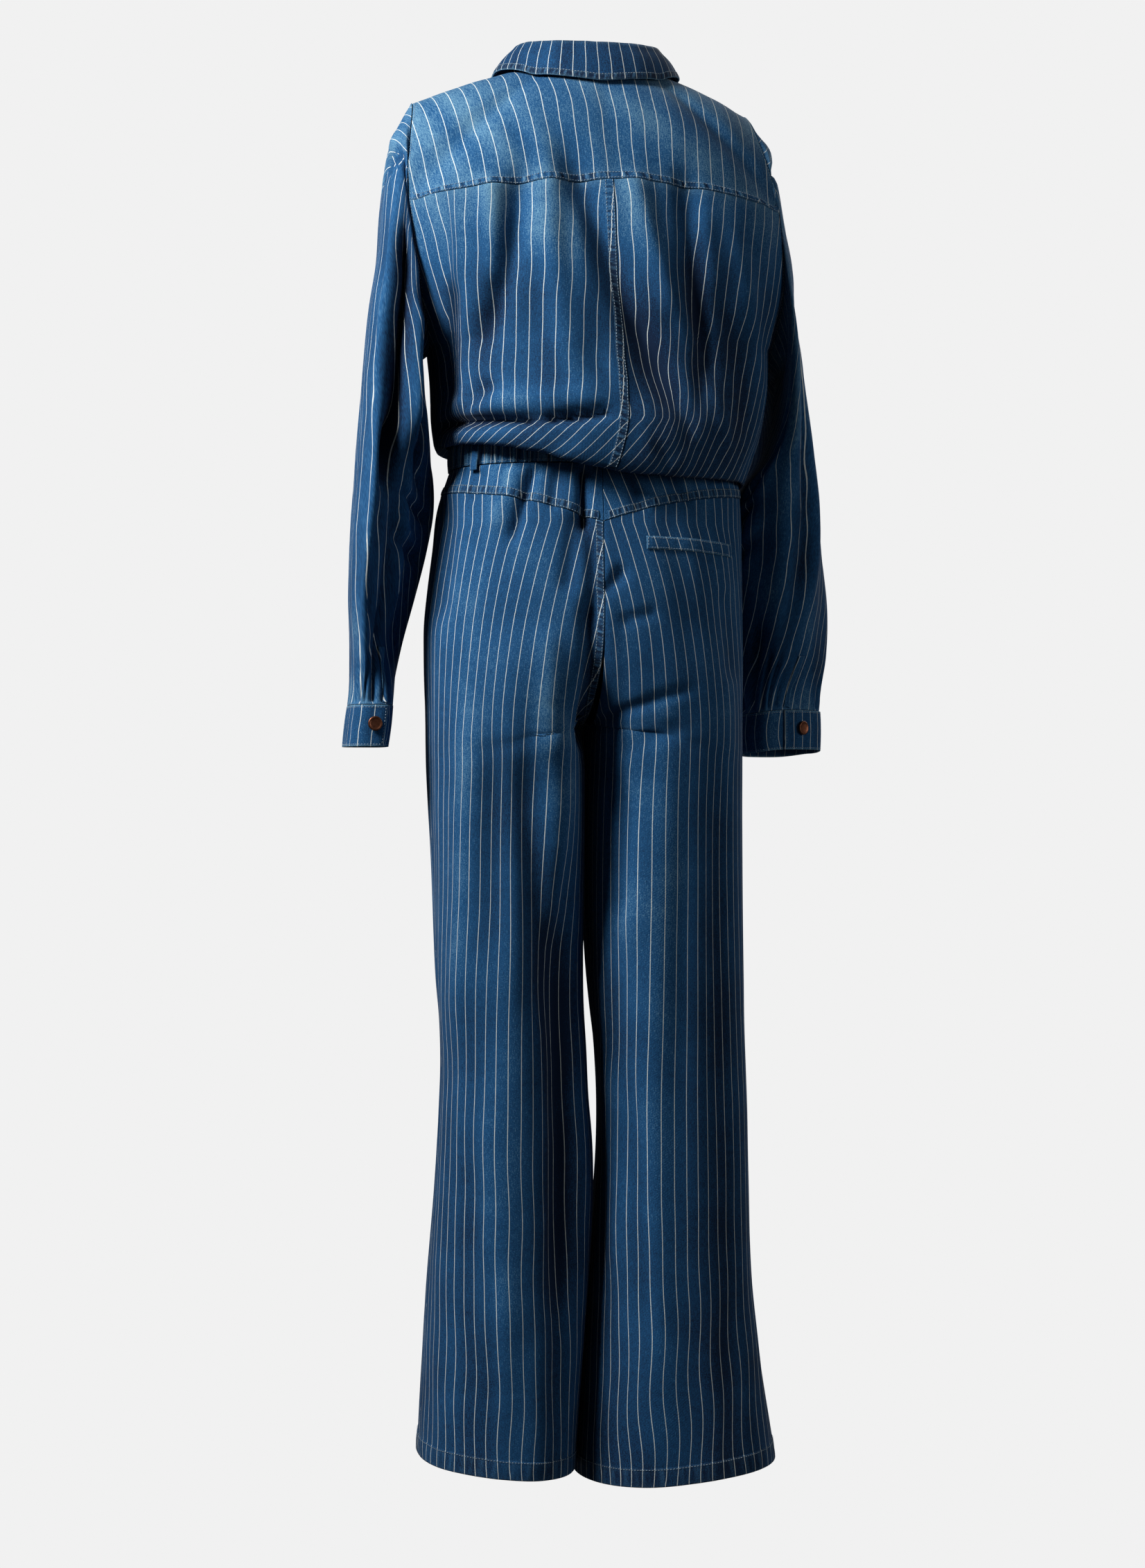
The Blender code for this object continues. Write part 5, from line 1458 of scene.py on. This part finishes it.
@dataclass
class Sleeve:
    """One sleeve with its slit, cuff and the cuff's lapped ends."""

    side: Side
    sections: Array
    tab_edge: float              # degrees round the cuff, of its outer end and its button
    button_turn: float
    cuff_lean: float = 0.0
    fold_at: float = 90.0        # where the forearm's fold starts, and how sharp it is
    fold_share: float = 0.0
    cap_wash: float = 0.02       # how much paler the shoulder is above its crease
    clear: float = 0.9 * MM
    full: float = 3.3
    per_degree: float = 0.0012   # lengths on the creases' plane
    per_row: float = 0.050
    cap_slant: float = 1.9
    cuff_height: float = 0.042
    cuff_gap: float = 0.6 * MM
    cuff_wrap: float = 398.0
    cuff_lap: float = 2.4 * MM
    slit_length: float = 0.062
    slit_width: float = 9.0 * MM
    button_down: float = 0.45

    @property
    def middle(self) -> tuple[float, float]:
        """The middle of the sleeve's hollow, across and in depth."""
        wide = (self.sections["out_x"] + self.sections["in_x"]).mean() / 2.0
        return self.side * wide, self.sections["mid_y"].mean()

    def ring(self, row: float, angle: Array, grow: Array | float = 0.0) -> Array:
        """Points of the sleeve at a row of its table."""
        weights = hermite(np.arange(len(self.sections), dtype=float), np.array([row]))[0]
        out_x, out_drop, in_x, in_drop, mid_y, half_depth, twist = (
            float(weights @ self.sections[name]) for name in SLEEVE_COLUMNS.split())
        turn, twist = np.radians(angle), math.radians(twist)
        across, along = (np.sign(part) * np.abs(part)**(2.0 / self.full)
                         for part in (np.cos(turn), np.sin(turn)))
        across = ((out_x - in_x) / 2.0 + grow) * across
        along = (half_depth + grow) * along
        x = (out_x + in_x) / 2.0 + across * math.cos(twist) - along * math.sin(twist)
        y = mid_y + across * math.sin(twist) + along * math.cos(twist)
        drop = (out_drop + in_drop) / 2.0 + (out_drop - in_drop) / 2.0 * np.cos(turn)
        return points(self.side * x, y, -drop)

    def on_plane(self, angle: Array | float, row: Array | float) -> Array:
        """Places on the creases' plane, by angle round the sleeve and row of its table."""
        return np.stack(np.broadcast_arrays(angle * self.per_degree, row * self.per_row),
                        axis=-1)

    def cap(self, flat: Array) -> Array:
        """1 above the fold that runs across the back of the shoulder, and 0 below it."""
        start = self.on_plane(8.0, 0.48)
        line = self.on_plane(71.0, -1.0) - start
        beside = np.array([line[1], -line[0]]) / np.linalg.norm(line)
        here = ease(flat[..., 0] / (20.0 * self.per_degree) + 2.0)
        return here * ease((flat - start) @ beside / (4.0 * MM) + 0.5)

    def turn_in(self, grid: Array, angle: Array) -> None:
        """Let the forearm's back fall away flat from a fold line to the underarm seam.

        Args:
            grid: the sleeve's coarse points, changed in place.
            angle: each column's angle.
        """
        row = np.arange(len(grid)) - 1.0
        amount = ease((row - 4.2) / 2.4) * (1.0 - ease((row - 9.9) / 1.6)) * self.fold_share
        here = angle >= self.fold_at
        share = ((angle[here] - self.fold_at) / (180.0 - self.fold_at))[None, :, None]
        line = mix(grid[:, here][:, :1], grid[:, here][:, -1:], share)
        grid[:, here] = mix(grid[:, here], line, amount[:, None, None])

    def flatten(self, panel: Panel, around: Array) -> None:
        """Space the stripes evenly, as seen from behind, over the sleeve's rounded back edge.

        Args:
            panel: the sleeve.
            around: each column's angle.
        """
        step = np.diff(panel.points, axis=1)
        whole = np.linalg.norm(step, axis=-1)
        middle = (around[1:] + around[:-1]) / 2.0
        flat = ease((middle - 2.0) / 16.0) * (1.0 - ease((middle - 52.0) / 26.0))
        even = np.clip(1.1 * np.abs(step[..., 0]), 0.42 * whole, whole)
        across = np.pad(np.cumsum(mix(whole, even, flat), axis=1), ((0, 0), (1, 0)))
        zero = int(np.argmin(np.abs(around)))
        panel.across = across - across[:, zero:zero + 1]

    def make_sleeve(self) -> None:
        """Build the sleeve, creased at the elbow and gathered into the cuff."""
        angle = np.linspace(-180.0, 180.0, 25)
        head = FORM.armhole(self.side, angle)
        head[:, 0] += self.side * self.clear
        grid = np.array([head] + [self.ring(row, angle) for row in range(len(self.sections))])
        self.turn_in(grid, angle)
        panel = Panel.refine(grid, grain=0.5)
        panel.face_out(self.middle)
        around = np.interp(panel.column_at, np.arange(25), angle)
        row = panel.row_at[:, None] - 1.0
        flat = self.on_plane(around, row)
        cap = self.cap(flat)
        self.flatten(panel, around)
        slanted = -0.75 * (np.abs(self.cap_slant * panel.x) + panel.drop)
        gap = np.linalg.norm(flat - self.on_plane(40.0, -0.26), axis=-1)
        fold = np.unravel_index(np.argmin(gap), gap.shape)
        panel.other_across = slanted + panel.across[fold] - slanted[fold]
        panel.other_here = cap
        panel.sway(0.9 * MM, 0.08, 81 + self.side)
        ends = ease(panel.distance(Edge.TOP) / 0.008) * ease(panel.distance(Edge.BOTTOM) / 0.003)
        creases = np.concatenate([SLEEVE_CREASES, SLEEVE_FOLDS[self.side]])
        for key, size in (("a0", self.per_degree), ("a1", self.per_degree),
                          ("b0", self.per_row), ("b1", self.per_row)):
            creases[key] *= size
        panel.press(creases, ends, flat)
        panel.ripple(0.8 * MM, 0.05, 83 + self.side, ends * panel.inside(0.012), slant=0.4)
        near = 1.0 - ease(panel.distance(Edge.BOTTOM) / 0.05)
        panel.ripple(0.9 * MM, 0.016, 85 + self.side, near * ends)
        panel.wash = (0.40 + 0.07 * wander(panel.across + 0.4 * panel.down, 0.05, 87)
                      + 0.24 * near + self.cap_wash * cap)
        if self.side is Side.RIGHT:
            # Paler at the top, partly paler cloth and partly painted light, and painted shade
            # darkens it lower down.
            panel.wash = panel.wash + 0.20 - 0.26 * ease((row - 2.0) / 5.5)
        else:
            # Painted shade darkens the back and inner half of the left sleeve.
            panel.wash = panel.wash - 0.12 * ease((around - 45.0) / 20.0)
        piece = Piece("sleeve_" + self.side.word, panel, "hung",
                      ("bodice_back_" + self.side.word,))
        piece.extras.append(self.make_slit(panel))
        piece.finish()

    def make_slit(self, sleeve: Panel) -> bpy.types.Object:
        """Build the slit's binding, a narrow strip above the cuff."""
        around = (self.tab_edge - 4.0 + 180.0) % 360.0 - 180.0
        middle = np.interp(around, np.linspace(-180.0, 180.0, 25), np.arange(25))
        column = float(np.interp(middle, sleeve.column_at, np.arange(len(sleeve.column_at))))
        side_arc = sleeve.distance(Edge.FIRST)[-4]
        index = np.arange(len(side_arc))
        start = float(np.interp(column, index, side_arc))
        columns = np.interp(start + self.slit_width * np.linspace(-0.5, 0.5, 7), side_arc, index)
        line = sleeve.distance(Edge.BOTTOM)[::-1, int(column)]
        down = np.linspace(self.slit_length, 2.2 * MM, 40)
        rows = len(line) - 1 - np.interp(down, line, np.arange(len(line)))
        lift = (1.4 + 0.3 * np.sin(np.linspace(0.0, math.pi, 7))) * MM
        rows, columns, lift = np.broadcast_arrays(rows[:, None], columns, lift)
        panel = sleeve.overlay(rows, columns, lift)
        panel.wash = 0.42
        panel.rub(1.5 * MM, 0.6, Edge.FIRST, Edge.LAST)
        return Piece("sleeve_slit_" + self.side.word, panel, wall=0.8 * MM).small()

    def make_cuff(self) -> None:
        """Build the cuff, wound round the wrist with its outer end lapped over."""
        wound = np.linspace(0.0, self.cuff_wrap, 54)
        lapped = self.cuff_lap * (1.0 - ease((wound - 45.0) / 40.0))
        rows = []
        for down in (0.0, 0.25, 0.5, 0.75, 1.0):
            bow = 0.5 * MM * math.sin(math.pi * down)
            rows.append(self.on_cuff(self.tab_edge - wound, lapped + bow, down))
        panel = Panel.refine(np.array(rows), step=3.0 * MM)
        wrist = self.sections[-1]
        panel.face_out((self.side * (wrist["out_x"] + wrist["in_x"]) / 2.0, wrist["mid_y"]))
        panel.sway(0.4 * MM, 0.04, 91)
        panel.ripple(0.35 * MM, 0.022, 92, panel.inside(0.006))
        panel.wash = 0.42 + 0.08 * wander(panel.across, 0.03, 93)
        panel.rub(2.2 * MM, 0.9, Edge.TOP, Edge.FIRST)
        panel.rub(2.4 * MM, 0.95, Edge.BOTTOM)
        piece = Piece("cuff_" + self.side.word, panel, "folded", ("sleeve_" + self.side.word,),
                      1.6 * MM)
        for edge, end in ((Edge.TOP, 0.01), (Edge.BOTTOM, 0.01), (Edge.FIRST, 0.06)):
            piece.sew(edge, 2.2 * MM, 0.9 * MM, end, 1.0 - end)
        piece.finish()

    def on_cuff(self, angle: Array | float, grow: Array | float, down: float) -> Array:
        """Points of the cuff by angle, lift and share of its height."""
        spots = self.ring(len(self.sections) - 1.0, angle, grow)
        spots[..., 2] -= self.cuff_gap + down * self.cuff_height
        spots[..., 0] += self.side * self.cuff_lean * down
        return spots

    def button(self) -> tuple[Array, Array]:
        """The cuff button's place on the cloth, and the way that it faces."""
        centre = self.on_cuff(self.button_turn, self.cuff_lap, self.button_down)
        facing = self.on_cuff(self.button_turn, 0.02, self.button_down) - centre
        facing[2] = 0.0
        return centre, unit(facing)


@dataclass
class Trousers:
    """Hip yokes, the wide legs and the back pocket's welt."""

    split_x: float = 0.004
    rise_start: float = 0.560
    crotch: float = 0.664
    thigh: float = 0.700
    hem_left: float = 1.420
    hem_right: float = 1.431
    hem_rise: float = 0.012
    columns: int = 14
    hip_rows: int = 4
    rise_rows: int = 7
    leg_rows: int = 16
    fan: float = 0.044           # how far a back's stripes move out from hip seam to thigh
    front_fan: float = 0.0176
    fan_end: float = 0.70
    side_fan: float = 0.014
    grain: float = 0.0815        # where the stripe line that runs straight down lies
    grain_stripe: float = 0.087
    drawn_in: float = 1.09       # small folds take up some of the legs' width
    wave_start: float = 1.02
    hem_height: float = 19.0 * MM
    seat_band: float = 8.5 * MM
    hip_band: float = 9.0 * MM
    welt_in: float = 0.0385
    welt_out: float = 0.1350
    welt_drop_in: float = 0.4735
    welt_drop_out: float = 0.4770
    welt_height: float = 0.0130
    welt_bow: float = 1.2 * MM

    def row(self, side: Side, face: str, share: Array, stage: float, top: Array) -> Array:
        """One row of a leg panel: hips to 1, the turn to the crotch to 2, the leg to 3."""
        rise = min(max(stage - 1.0, 0.0), 1.0)
        leg = max(stage - 2.0, 0.0)
        sink = math.sin(rise * math.pi / 2.0)
        edge = side.word
        hem = self.hem_left if side is Side.LEFT else self.hem_right
        drop_out = drop_in = mix(top, self.rise_start, stage)
        if stage > 1.0:
            drop_out = mix(mix(self.rise_start, self.thigh, rise), hem - self.hem_rise, leg)
            drop_in = mix(mix(self.rise_start, self.crotch, sink), hem, leg)
        across = share
        for _ in range(2):
            drop = mix(drop_in, drop_out, ease(across))
            outer = side * smooth(LOWER, edge, drop)
            half_y = np.abs(smooth(LOWER, face, drop))
            below = np.maximum(drop, self.thigh)
            inner = side * smooth(INSIDE, edge, below)
            middle_leg = (side * smooth(LOWER, edge, below) + inner) / 2.0
            middle = mix(self.split_x, middle_leg, sink)
            half_in = np.abs(middle_leg - inner)
            plane = mix(self.split_x, inner, sink * sink)
            away = np.clip(np.abs(middle - plane) / half_in, 0.0, 1.0)
            start = -np.arctan2(away * half_in,
                                half_y * (1.0 - away**FORM.full)**(1.0 / FORM.full))
            direction = mix(start, math.pi / 2.0, share)
            half_x = np.where(direction < 0.0, half_in, np.abs(outer - middle))
            x, y = FORM.section(half_x, half_y, direction)
            x = middle + side * x
            across = (x - plane) / (outer - plane)
        return points(x, y if face == "back" else -y, -drop)

    def leg_coarse(self, side: Side, face: str) -> tuple[Array, Array]:
        """Rows from the hips down to the hem, and each row's stage."""
        share = np.linspace(0.0, 1.0, self.columns + 1)
        top = FORM.hip_seam(share) if face == "back" else np.full_like(share, FORM.hip_top)
        stages = np.concatenate([np.linspace(0.0, 1.0, self.hip_rows + 1)[:-1],
                                 np.linspace(1.0, 2.0, self.rise_rows + 1)[:-1],
                                 np.linspace(2.0, 3.0, self.leg_rows + 1)])
        return np.array([self.row(side, face, share, stage, top) for stage in stages]), stages

    def make_hip_yoke(self, side: Side) -> None:
        """Build one hip yoke with its felled lower edge."""
        share = np.linspace(0.0, 1.0, self.columns + 1)
        panel = Panel.refine(np.array([
            FORM.ring(side, "back", share, mix(FORM.hip_top, FORM.hip_seam(share), down))
            for down in (0.0, 0.34, 0.67, 1.0)]), step=3.6 * MM)
        lean = mix(0.15, 0.32, ease(np.abs(panel.x) / 0.14)) if side is Side.LEFT else 0.42
        panel.across = panel.across - lean * (panel.drop - FORM.hip_seam_back)
        near_top = 1.0 - ease(panel.distance(Edge.TOP) / 0.03)
        panel.press(LEG_CREASES, panel.inside(0.010, (Edge.BOTTOM, Edge.FIRST)))
        panel.ripple(0.8 * MM, 0.012, 101 + side,
                     near_top * ease(panel.distance(Edge.TOP) / 0.003))
        panel.wash = 0.44 + 0.08 * wander(panel.across, 0.03, 103)
        panel.keep_back()
        piece = Piece("hip_yoke_" + side.word, panel, "hung", ("waistband",))
        piece.fell("band", Edge.BOTTOM, self.hip_band, 105 + side, 0.02, 0.995,
                   (1.3 * MM, 1.2 * MM))
        piece.finish()

    def lay_stripes(self, panel: Panel, fan: float) -> None:
        """Run a leg's stripes down its middle, and fan them in towards the seat above it.

        Args:
            panel: the trouser panel.
            fan: how far they move outwards from the hip seam down to the thigh.
        """
        away = np.abs(panel.x - self.split_x)
        middle = np.array([np.interp(self.grain, x, u) for x, u in zip(away, panel.across)])
        start = FORM.hip_seam_back
        fallen = np.clip((panel.drop - start) / (self.fan_end - start), 0.0, 1.0)
        fallen = 1.0 - (1.0 - fallen)**2.2
        outer = ease((away - self.grain) / self.grain)
        later = 1.0 - ease((panel.drop - self.fan_end) / 0.5)
        panel.across = (self.drawn_in * (panel.across - middle[:, None]) + self.grain_stripe
                        - fan * fallen + self.side_fan * outer * fallen * later)

    def make_leg(self, side: Side, face: str) -> Panel:
        """Build one trouser panel with its hem, and on the left the felled middle seam."""
        back = face == "back"
        coarse, stages = self.leg_coarse(side, face)
        panel = Panel.refine(coarse)
        panel.face_out((side * 0.085, 0.0))
        self.lay_stripes(panel, self.fan if back else self.front_fan)
        panel.sway(0.6 * MM, 0.24, (111 if back else 116) + side)
        # Nearer the hem the cloth hangs in waves, and the stripes bend with them.
        low = ease((panel.drop - self.wave_start) / 0.3)
        panel.across = panel.across + 2.6 * MM * low * wander(
            panel.down + 0.9 * panel.across, 0.17, 117 + side)
        drop = panel.drop
        inside = panel.inside(0.020)
        over = (Edge.TOP, Edge.BOTTOM, Edge.FIRST) if back else ()
        outward = panel.points[..., 1] * (1.0 if back else -1.0)
        panel.press(LEG_CREASES if back else FRONT_CREASES,
                    panel.inside(0.020, over) * ease(outward / 0.03))
        panel.ripple(1.3 * MM, 0.07, 113 + side, inside, slant=0.05)
        # The wash, with painted shade that darkens the legs towards the hem.
        panel.wash = (0.41 + 0.03 * wander(panel.across, 0.055, 115)
                      + 0.04 * wander(panel.down, 0.35, 116)
                      - 0.11 * ease((drop - 0.70) / 0.35))
        if side is Side.RIGHT:
            # Painted shade darkens the right leg, most of all near the hem.
            panel.wash = panel.wash - 0.03 - 0.09 * ease((drop - 1.0) / 0.4)
        panel.keep_back(bottom=0.0)
        piece = Piece("trouser_%s_%s" % (face, side.word), panel, "hung",
                      ("hip_yoke_" + side.word if back else "waistband",))
        piece.lay("hem", panel.strip(Edge.BOTTOM, 0.1 * MM, self.hem_height, 0.8 * MM,
                                     121 + side, 0.002, 0.998, pucker=0.3 * MM,
                                     pitch=12.0 * MM, step=2.2 * MM, worn=0.35))
        piece.sew(Edge.BOTTOM, self.hem_height - 1.4 * MM, 1.5 * MM)
        if side is Side.LEFT:
            stage = np.interp(panel.row_at, np.arange(len(stages)), stages)
            crotch = np.interp(2.0, stage, panel.down[:, 0]) / panel.down[-1, 0]
            piece.fell("seat", Edge.FIRST, self.seat_band, 123, end=0.97 * float(crotch))
        piece.finish()
        return panel

    def make_welt(self, panel: Panel) -> None:
        """Build the back pocket's welt on the right trouser back."""
        across = np.linspace(0.0, 1.0, 64)
        down = np.linspace(0.0, 1.0, 11)[:, None]
        upper = (mix(self.welt_drop_in, self.welt_drop_out, across)
                 - self.welt_bow * np.sin(math.pi * across))
        rows, columns = zip(*(self.locate(panel, mix(self.welt_in, self.welt_out, across),
                                          upper + share * self.welt_height)
                              for share in down))
        crown = np.sin(math.pi * np.clip(down, 0.04, 0.96))**0.5
        lift = (1.3 + 0.7 * crown + 0.15 * wander(across * 0.09, 0.012, 131) * crown) * MM
        welt = panel.overlay(np.array(rows), np.array(columns), lift)
        welt.across = welt.across * 0.9
        welt.wash = 0.44
        welt.rub(2.0 * MM, 0.75, *Edge)
        piece = Piece("back_pocket_welt", welt, "folded", ("trouser_back_right",), 0.8 * MM)
        for edge in Edge:
            piece.sew(edge, 1.8 * MM, 0.6 * MM, 0.04, 0.96)
        piece.finish()

    def locate(self, panel: Panel, right: Array, drop: Array) -> tuple[Array, Array]:
        """Rows and columns of a hip panel at places to the wearer's right and drops."""
        from_split = right + self.split_x
        grid = panel.points
        rows = np.full(right.shape, 5.0)
        for _ in range(12):
            lines = grid[np.clip(rows.round().astype(int), 0, len(grid) - 1), :, 0]
            columns = np.array([np.interp(x, np.abs(line - self.split_x), np.arange(len(line)))
                                for x, line in zip(from_split, lines)])
            near = np.clip(columns.round().astype(int), 0, grid.shape[1] - 1)
            upright = -grid[:40, near, 2]
            rows = np.array([np.interp(d, upright[:, i], np.arange(len(upright)))
                             for i, d in enumerate(drop)])
        return rows, columns


@dataclass
class Fastenings:
    """Front band, fly band and the copper shank buttons."""

    width: float = 15.0 * MM
    thick: float = 2.6 * MM
    post_width: float = 6.4 * MM
    post_height: float = 1.6 * MM
    gap: float = 0.4 * MM
    steps: int = 40
    band_half: float = 0.0165
    front_last: float = 0.262
    fly_last: float = 0.155
    drops: tuple = (0.101, 0.157, 0.213, 0.269, 0.325)
    waist_drop: float = 0.3895

    def close_front(self, fronts: dict[Side, Panel], flies: dict[Side, Panel]) -> None:
        """Build the front band, its buttons, the fly band and the waist button."""
        band = self.band("front_band", fronts, self.front_last, "bodice_front_left")
        middle = band.points.shape[1] // 2
        line, normals = band.points[:, middle], band.normals()[:, middle]
        for number, drop in enumerate(self.drops, 1):
            self.button("front_button_%d" % number, on_line(line, -line[:, 2], drop),
                        unit(on_line(normals, -line[:, 2], drop)), 0.5 * MM)
        self.band("fly_band", flies, self.fly_last, "trouser_front_left")
        self.button("waist_button", FORM.ring(Side.LEFT, "front", 0.0, self.waist_drop),
                    np.array([0.0, -1.0, 0.0]), 2.2 * MM)

    def band(self, name: str, panels: dict[Side, Panel], last: float, holder: str) -> Panel:
        """Build a strip over the seam between two mirrored panels.

        Args:
            name: the node that it stands for.
            panels: the two panels.
            last: length down them.
            holder: the node that it lies on.

        Returns:
            The strip.
        """
        downs = np.arange(1.4 * MM, last, 2.6 * MM)
        offsets = self.band_half * np.array([1.0, 0.94, 0.66, 0.33, 0.0])
        lines = []
        for side, places in ((Side.RIGHT, offsets[:-1]), (Side.LEFT, offsets[::-1])):
            panel = panels[side]
            for offset in places:
                rows, columns = panel.beside(Edge.FIRST, offset)
                arc = panel.sample(panel.down, rows, columns)
                lines.append(panel.read(np.interp(downs, arc, rows),
                                        np.interp(downs, arc, columns), 2.0 * MM))
        grid = np.array(lines).transpose(1, 0, 2)
        strip = Panel(grid, lengths(grid, 1) - self.band_half,
                      np.tile(downs[:, None], (1, grid.shape[1])))
        strip.face_out()
        strip.rub(2.0 * MM, 0.6, Edge.FIRST, Edge.LAST)
        piece = Piece(name, strip, "folded", (holder,), 1.0 * MM)
        for edge in (Edge.FIRST, Edge.LAST):
            piece.sew(edge, 3.0 * MM, 0.7 * MM, 0.005, 0.995)
        piece.finish()
        return strip

    def button(self, name: str, centre: Array, facing: Array, stand: float) -> None:
        """Build a shank button: a turned, dished cap with a rolled rim on its post."""
        half = self.width / 2.0
        post = self.post_width / 2.0
        foot = stand + self.gap
        back = foot + self.post_height
        face = back + self.thick
        # Share of the half width, and millimetres below the rim's top.
        dish = ((0.0, 0.62), (0.30, 0.60), (0.58, 0.50), (0.70, 0.36), (0.76, 0.12),
                (0.82, 0.0), (0.90, 0.04), (0.96, 0.40))
        profile = [(half * share, face - sunk * MM) for share, sunk in dish]
        profile += [(half, back + self.thick * 0.5), (half * 0.98, back + self.thick * 0.22),
                    (half * 0.90, back), (half * 0.60, back - 0.15 * MM),
                    (post, back - 0.2 * MM), (post * 0.9, back - 0.8 * MM), (post, foot),
                    (0.0, foot)]
        turn = np.linspace(0.0, 2.0 * math.pi, self.steps, endpoint=False)
        verts = np.concatenate([points(radius * np.cos(turn), radius * np.sin(turn), height)
                                for radius, height in profile])
        turned = Vector(facing.tolist()).to_track_quat("Z", "X").to_matrix()
        verts = verts @ np.array(turned).T + centre
        item = mesh_object(name + "_copper", verts, rings(len(profile), self.steps),
                           COPPER.material())
        weld = item.modifiers.new("weld", "WELD")
        weld.merge_threshold = 1e-5
        place(item, "copper", name)
        LOG.info("%s: %d faces", name, len(item.data.polygons))


# ------------------------------------------------------------------ floor, light and camera
@dataclass
class Studio:
    """A plain pale room with one large soft light at the photograph's side of the garment."""

    floor: float = -1.56
    reach: float = 9.0
    distance: float = 2.95
    height: float = -0.7207
    azimuth: float = 170.0
    sensor: float = 36.0
    lens: float = 36.0 * 4097.0 / 2263.0
    shift: float = -20.0 / 2263.0
    air: str = "#F4F6F8"
    air_strength: float = 0.05
    # Degrees round from the camera and up, distance, width in metres and watts.
    lamps: tuple = (("key", 54.0, 38.0, 2.3, 0.8, 75.0),
                    ("fill", -66.0, 10.0, 3.6, 1.6, 20.0),
                    ("front_fill", 212.0, 35.0, 3.6, 2.6, 40.0))

    def room(self) -> None:
        """Build the floor and the wall all round, both the same pale tone."""
        steps = 64
        turn = np.linspace(0.0, 2.0 * math.pi, steps, endpoint=False)
        rises = np.radians([-12.0, 0.0, 20.0, 40.0, 60.0, 78.0, 90.0])
        wall = np.concatenate([self.reach * points(
            math.cos(rise) * np.cos(turn), math.cos(rise) * np.sin(turn), math.sin(rise))
            for rise in rises])
        up = np.array([0.0, 0.0, self.floor])
        for name, verts, faces in (
                ("studio_floor", wall[steps:2 * steps], [tuple(range(steps))]),
                ("studio_wall", wall, rings(len(rises), steps))):
            item = mesh_object(name, verts + up, faces, PAPER.material())
            item.visible_diffuse = False
            item.visible_glossy = False
            item.visible_shadow = False
            item.visible_transmission = False

    def lamp(self, name: str, turn: float, rise: float, away: float, size: float,
             power: float) -> None:
        """Place a soft light that looks at the middle of the garment.

        Args:
            name: the light's name.
            turn: degrees round from the camera, positive to its left.
            rise: degrees above the garment's middle.
            away: distance from the middle.
            size: width of its face.
            power: watts.
        """
        light = bpy.data.lights.new(name, "AREA")
        light.shape = "DISK"
        light.size = size
        light.energy = power
        item = self.put(name, light)
        angle, up = math.radians(self.azimuth - turn), math.radians(rise)
        way = Vector((math.sin(angle) * math.cos(up), -math.cos(angle) * math.cos(up),
                      math.sin(up)))
        item.location = Vector((0.0, 0.0, self.height)) + way * away
        item.rotation_euler = way.to_track_quat("Z", "Y").to_euler()

    def put(self, name: str, data: bpy.types.ID) -> bpy.types.Object:
        """Link a light or a camera to the scene."""
        item = bpy.data.objects.new(name, data)
        bpy.context.scene.collection.objects.link(item)
        return item

    def make(self) -> None:
        """Build the room, the lights, the world and the camera."""
        self.room()
        for lamp in self.lamps:
            self.lamp(*lamp)
        scene = bpy.context.scene
        scene.world = bpy.data.worlds.new("studio_air")
        scene.world.use_nodes = True
        air = scene.world.node_tree.nodes["Background"]
        air.inputs["Color"].default_value = linear(self.air)
        air.inputs["Strength"].default_value = self.air_strength
        camera = bpy.data.cameras.new("camera")
        camera.sensor_fit = "AUTO"
        camera.sensor_width = self.sensor
        camera.lens = self.lens
        camera.shift_x = self.shift
        item = self.put("camera", camera)
        turn = math.radians(self.azimuth)
        item.location = (math.sin(turn) * self.distance, -math.cos(turn) * self.distance,
                         self.height)
        item.rotation_euler = (math.pi / 2.0, 0.0, turn)
        scene.camera = item
        scene.view_settings.view_transform = "Standard"


def main() -> None:
    """Build the studio and every piece in order."""
    logging.basicConfig(level=logging.INFO, format="%(name)s %(message)s")
    Studio().make()
    bodice = Bodice()
    bodice.make_yoke()
    fronts = {}
    for side in Side:
        bodice.make_back(side)
        fronts[side] = bodice.make_front(side)
    Collar().make(bodice)
    Waist().make_band()
    fastenings = Fastenings()
    for sleeve in (Sleeve(Side.LEFT, SLEEVE_LEFT, 113.0, 91.0, cuff_lean=5.0 * MM,
                          fold_at=60.0, fold_share=0.92, cap_wash=0.24),
                   Sleeve(Side.RIGHT, SLEEVE_RIGHT, 19.0, 0.0)):
        sleeve.make_sleeve()
        sleeve.make_cuff()
        fastenings.button("cuff_button_" + sleeve.side.word, *sleeve.button(), 0.8 * MM)
    trousers = Trousers()
    flies = {}
    for side in Side:
        trousers.make_hip_yoke(side)
        back = trousers.make_leg(side, "back")
        flies[side] = trousers.make_leg(side, "front")
        if side is Side.RIGHT:
            trousers.make_welt(back)
    fastenings.close_front(fronts, flies)


if __name__ == "__main__":
    main()
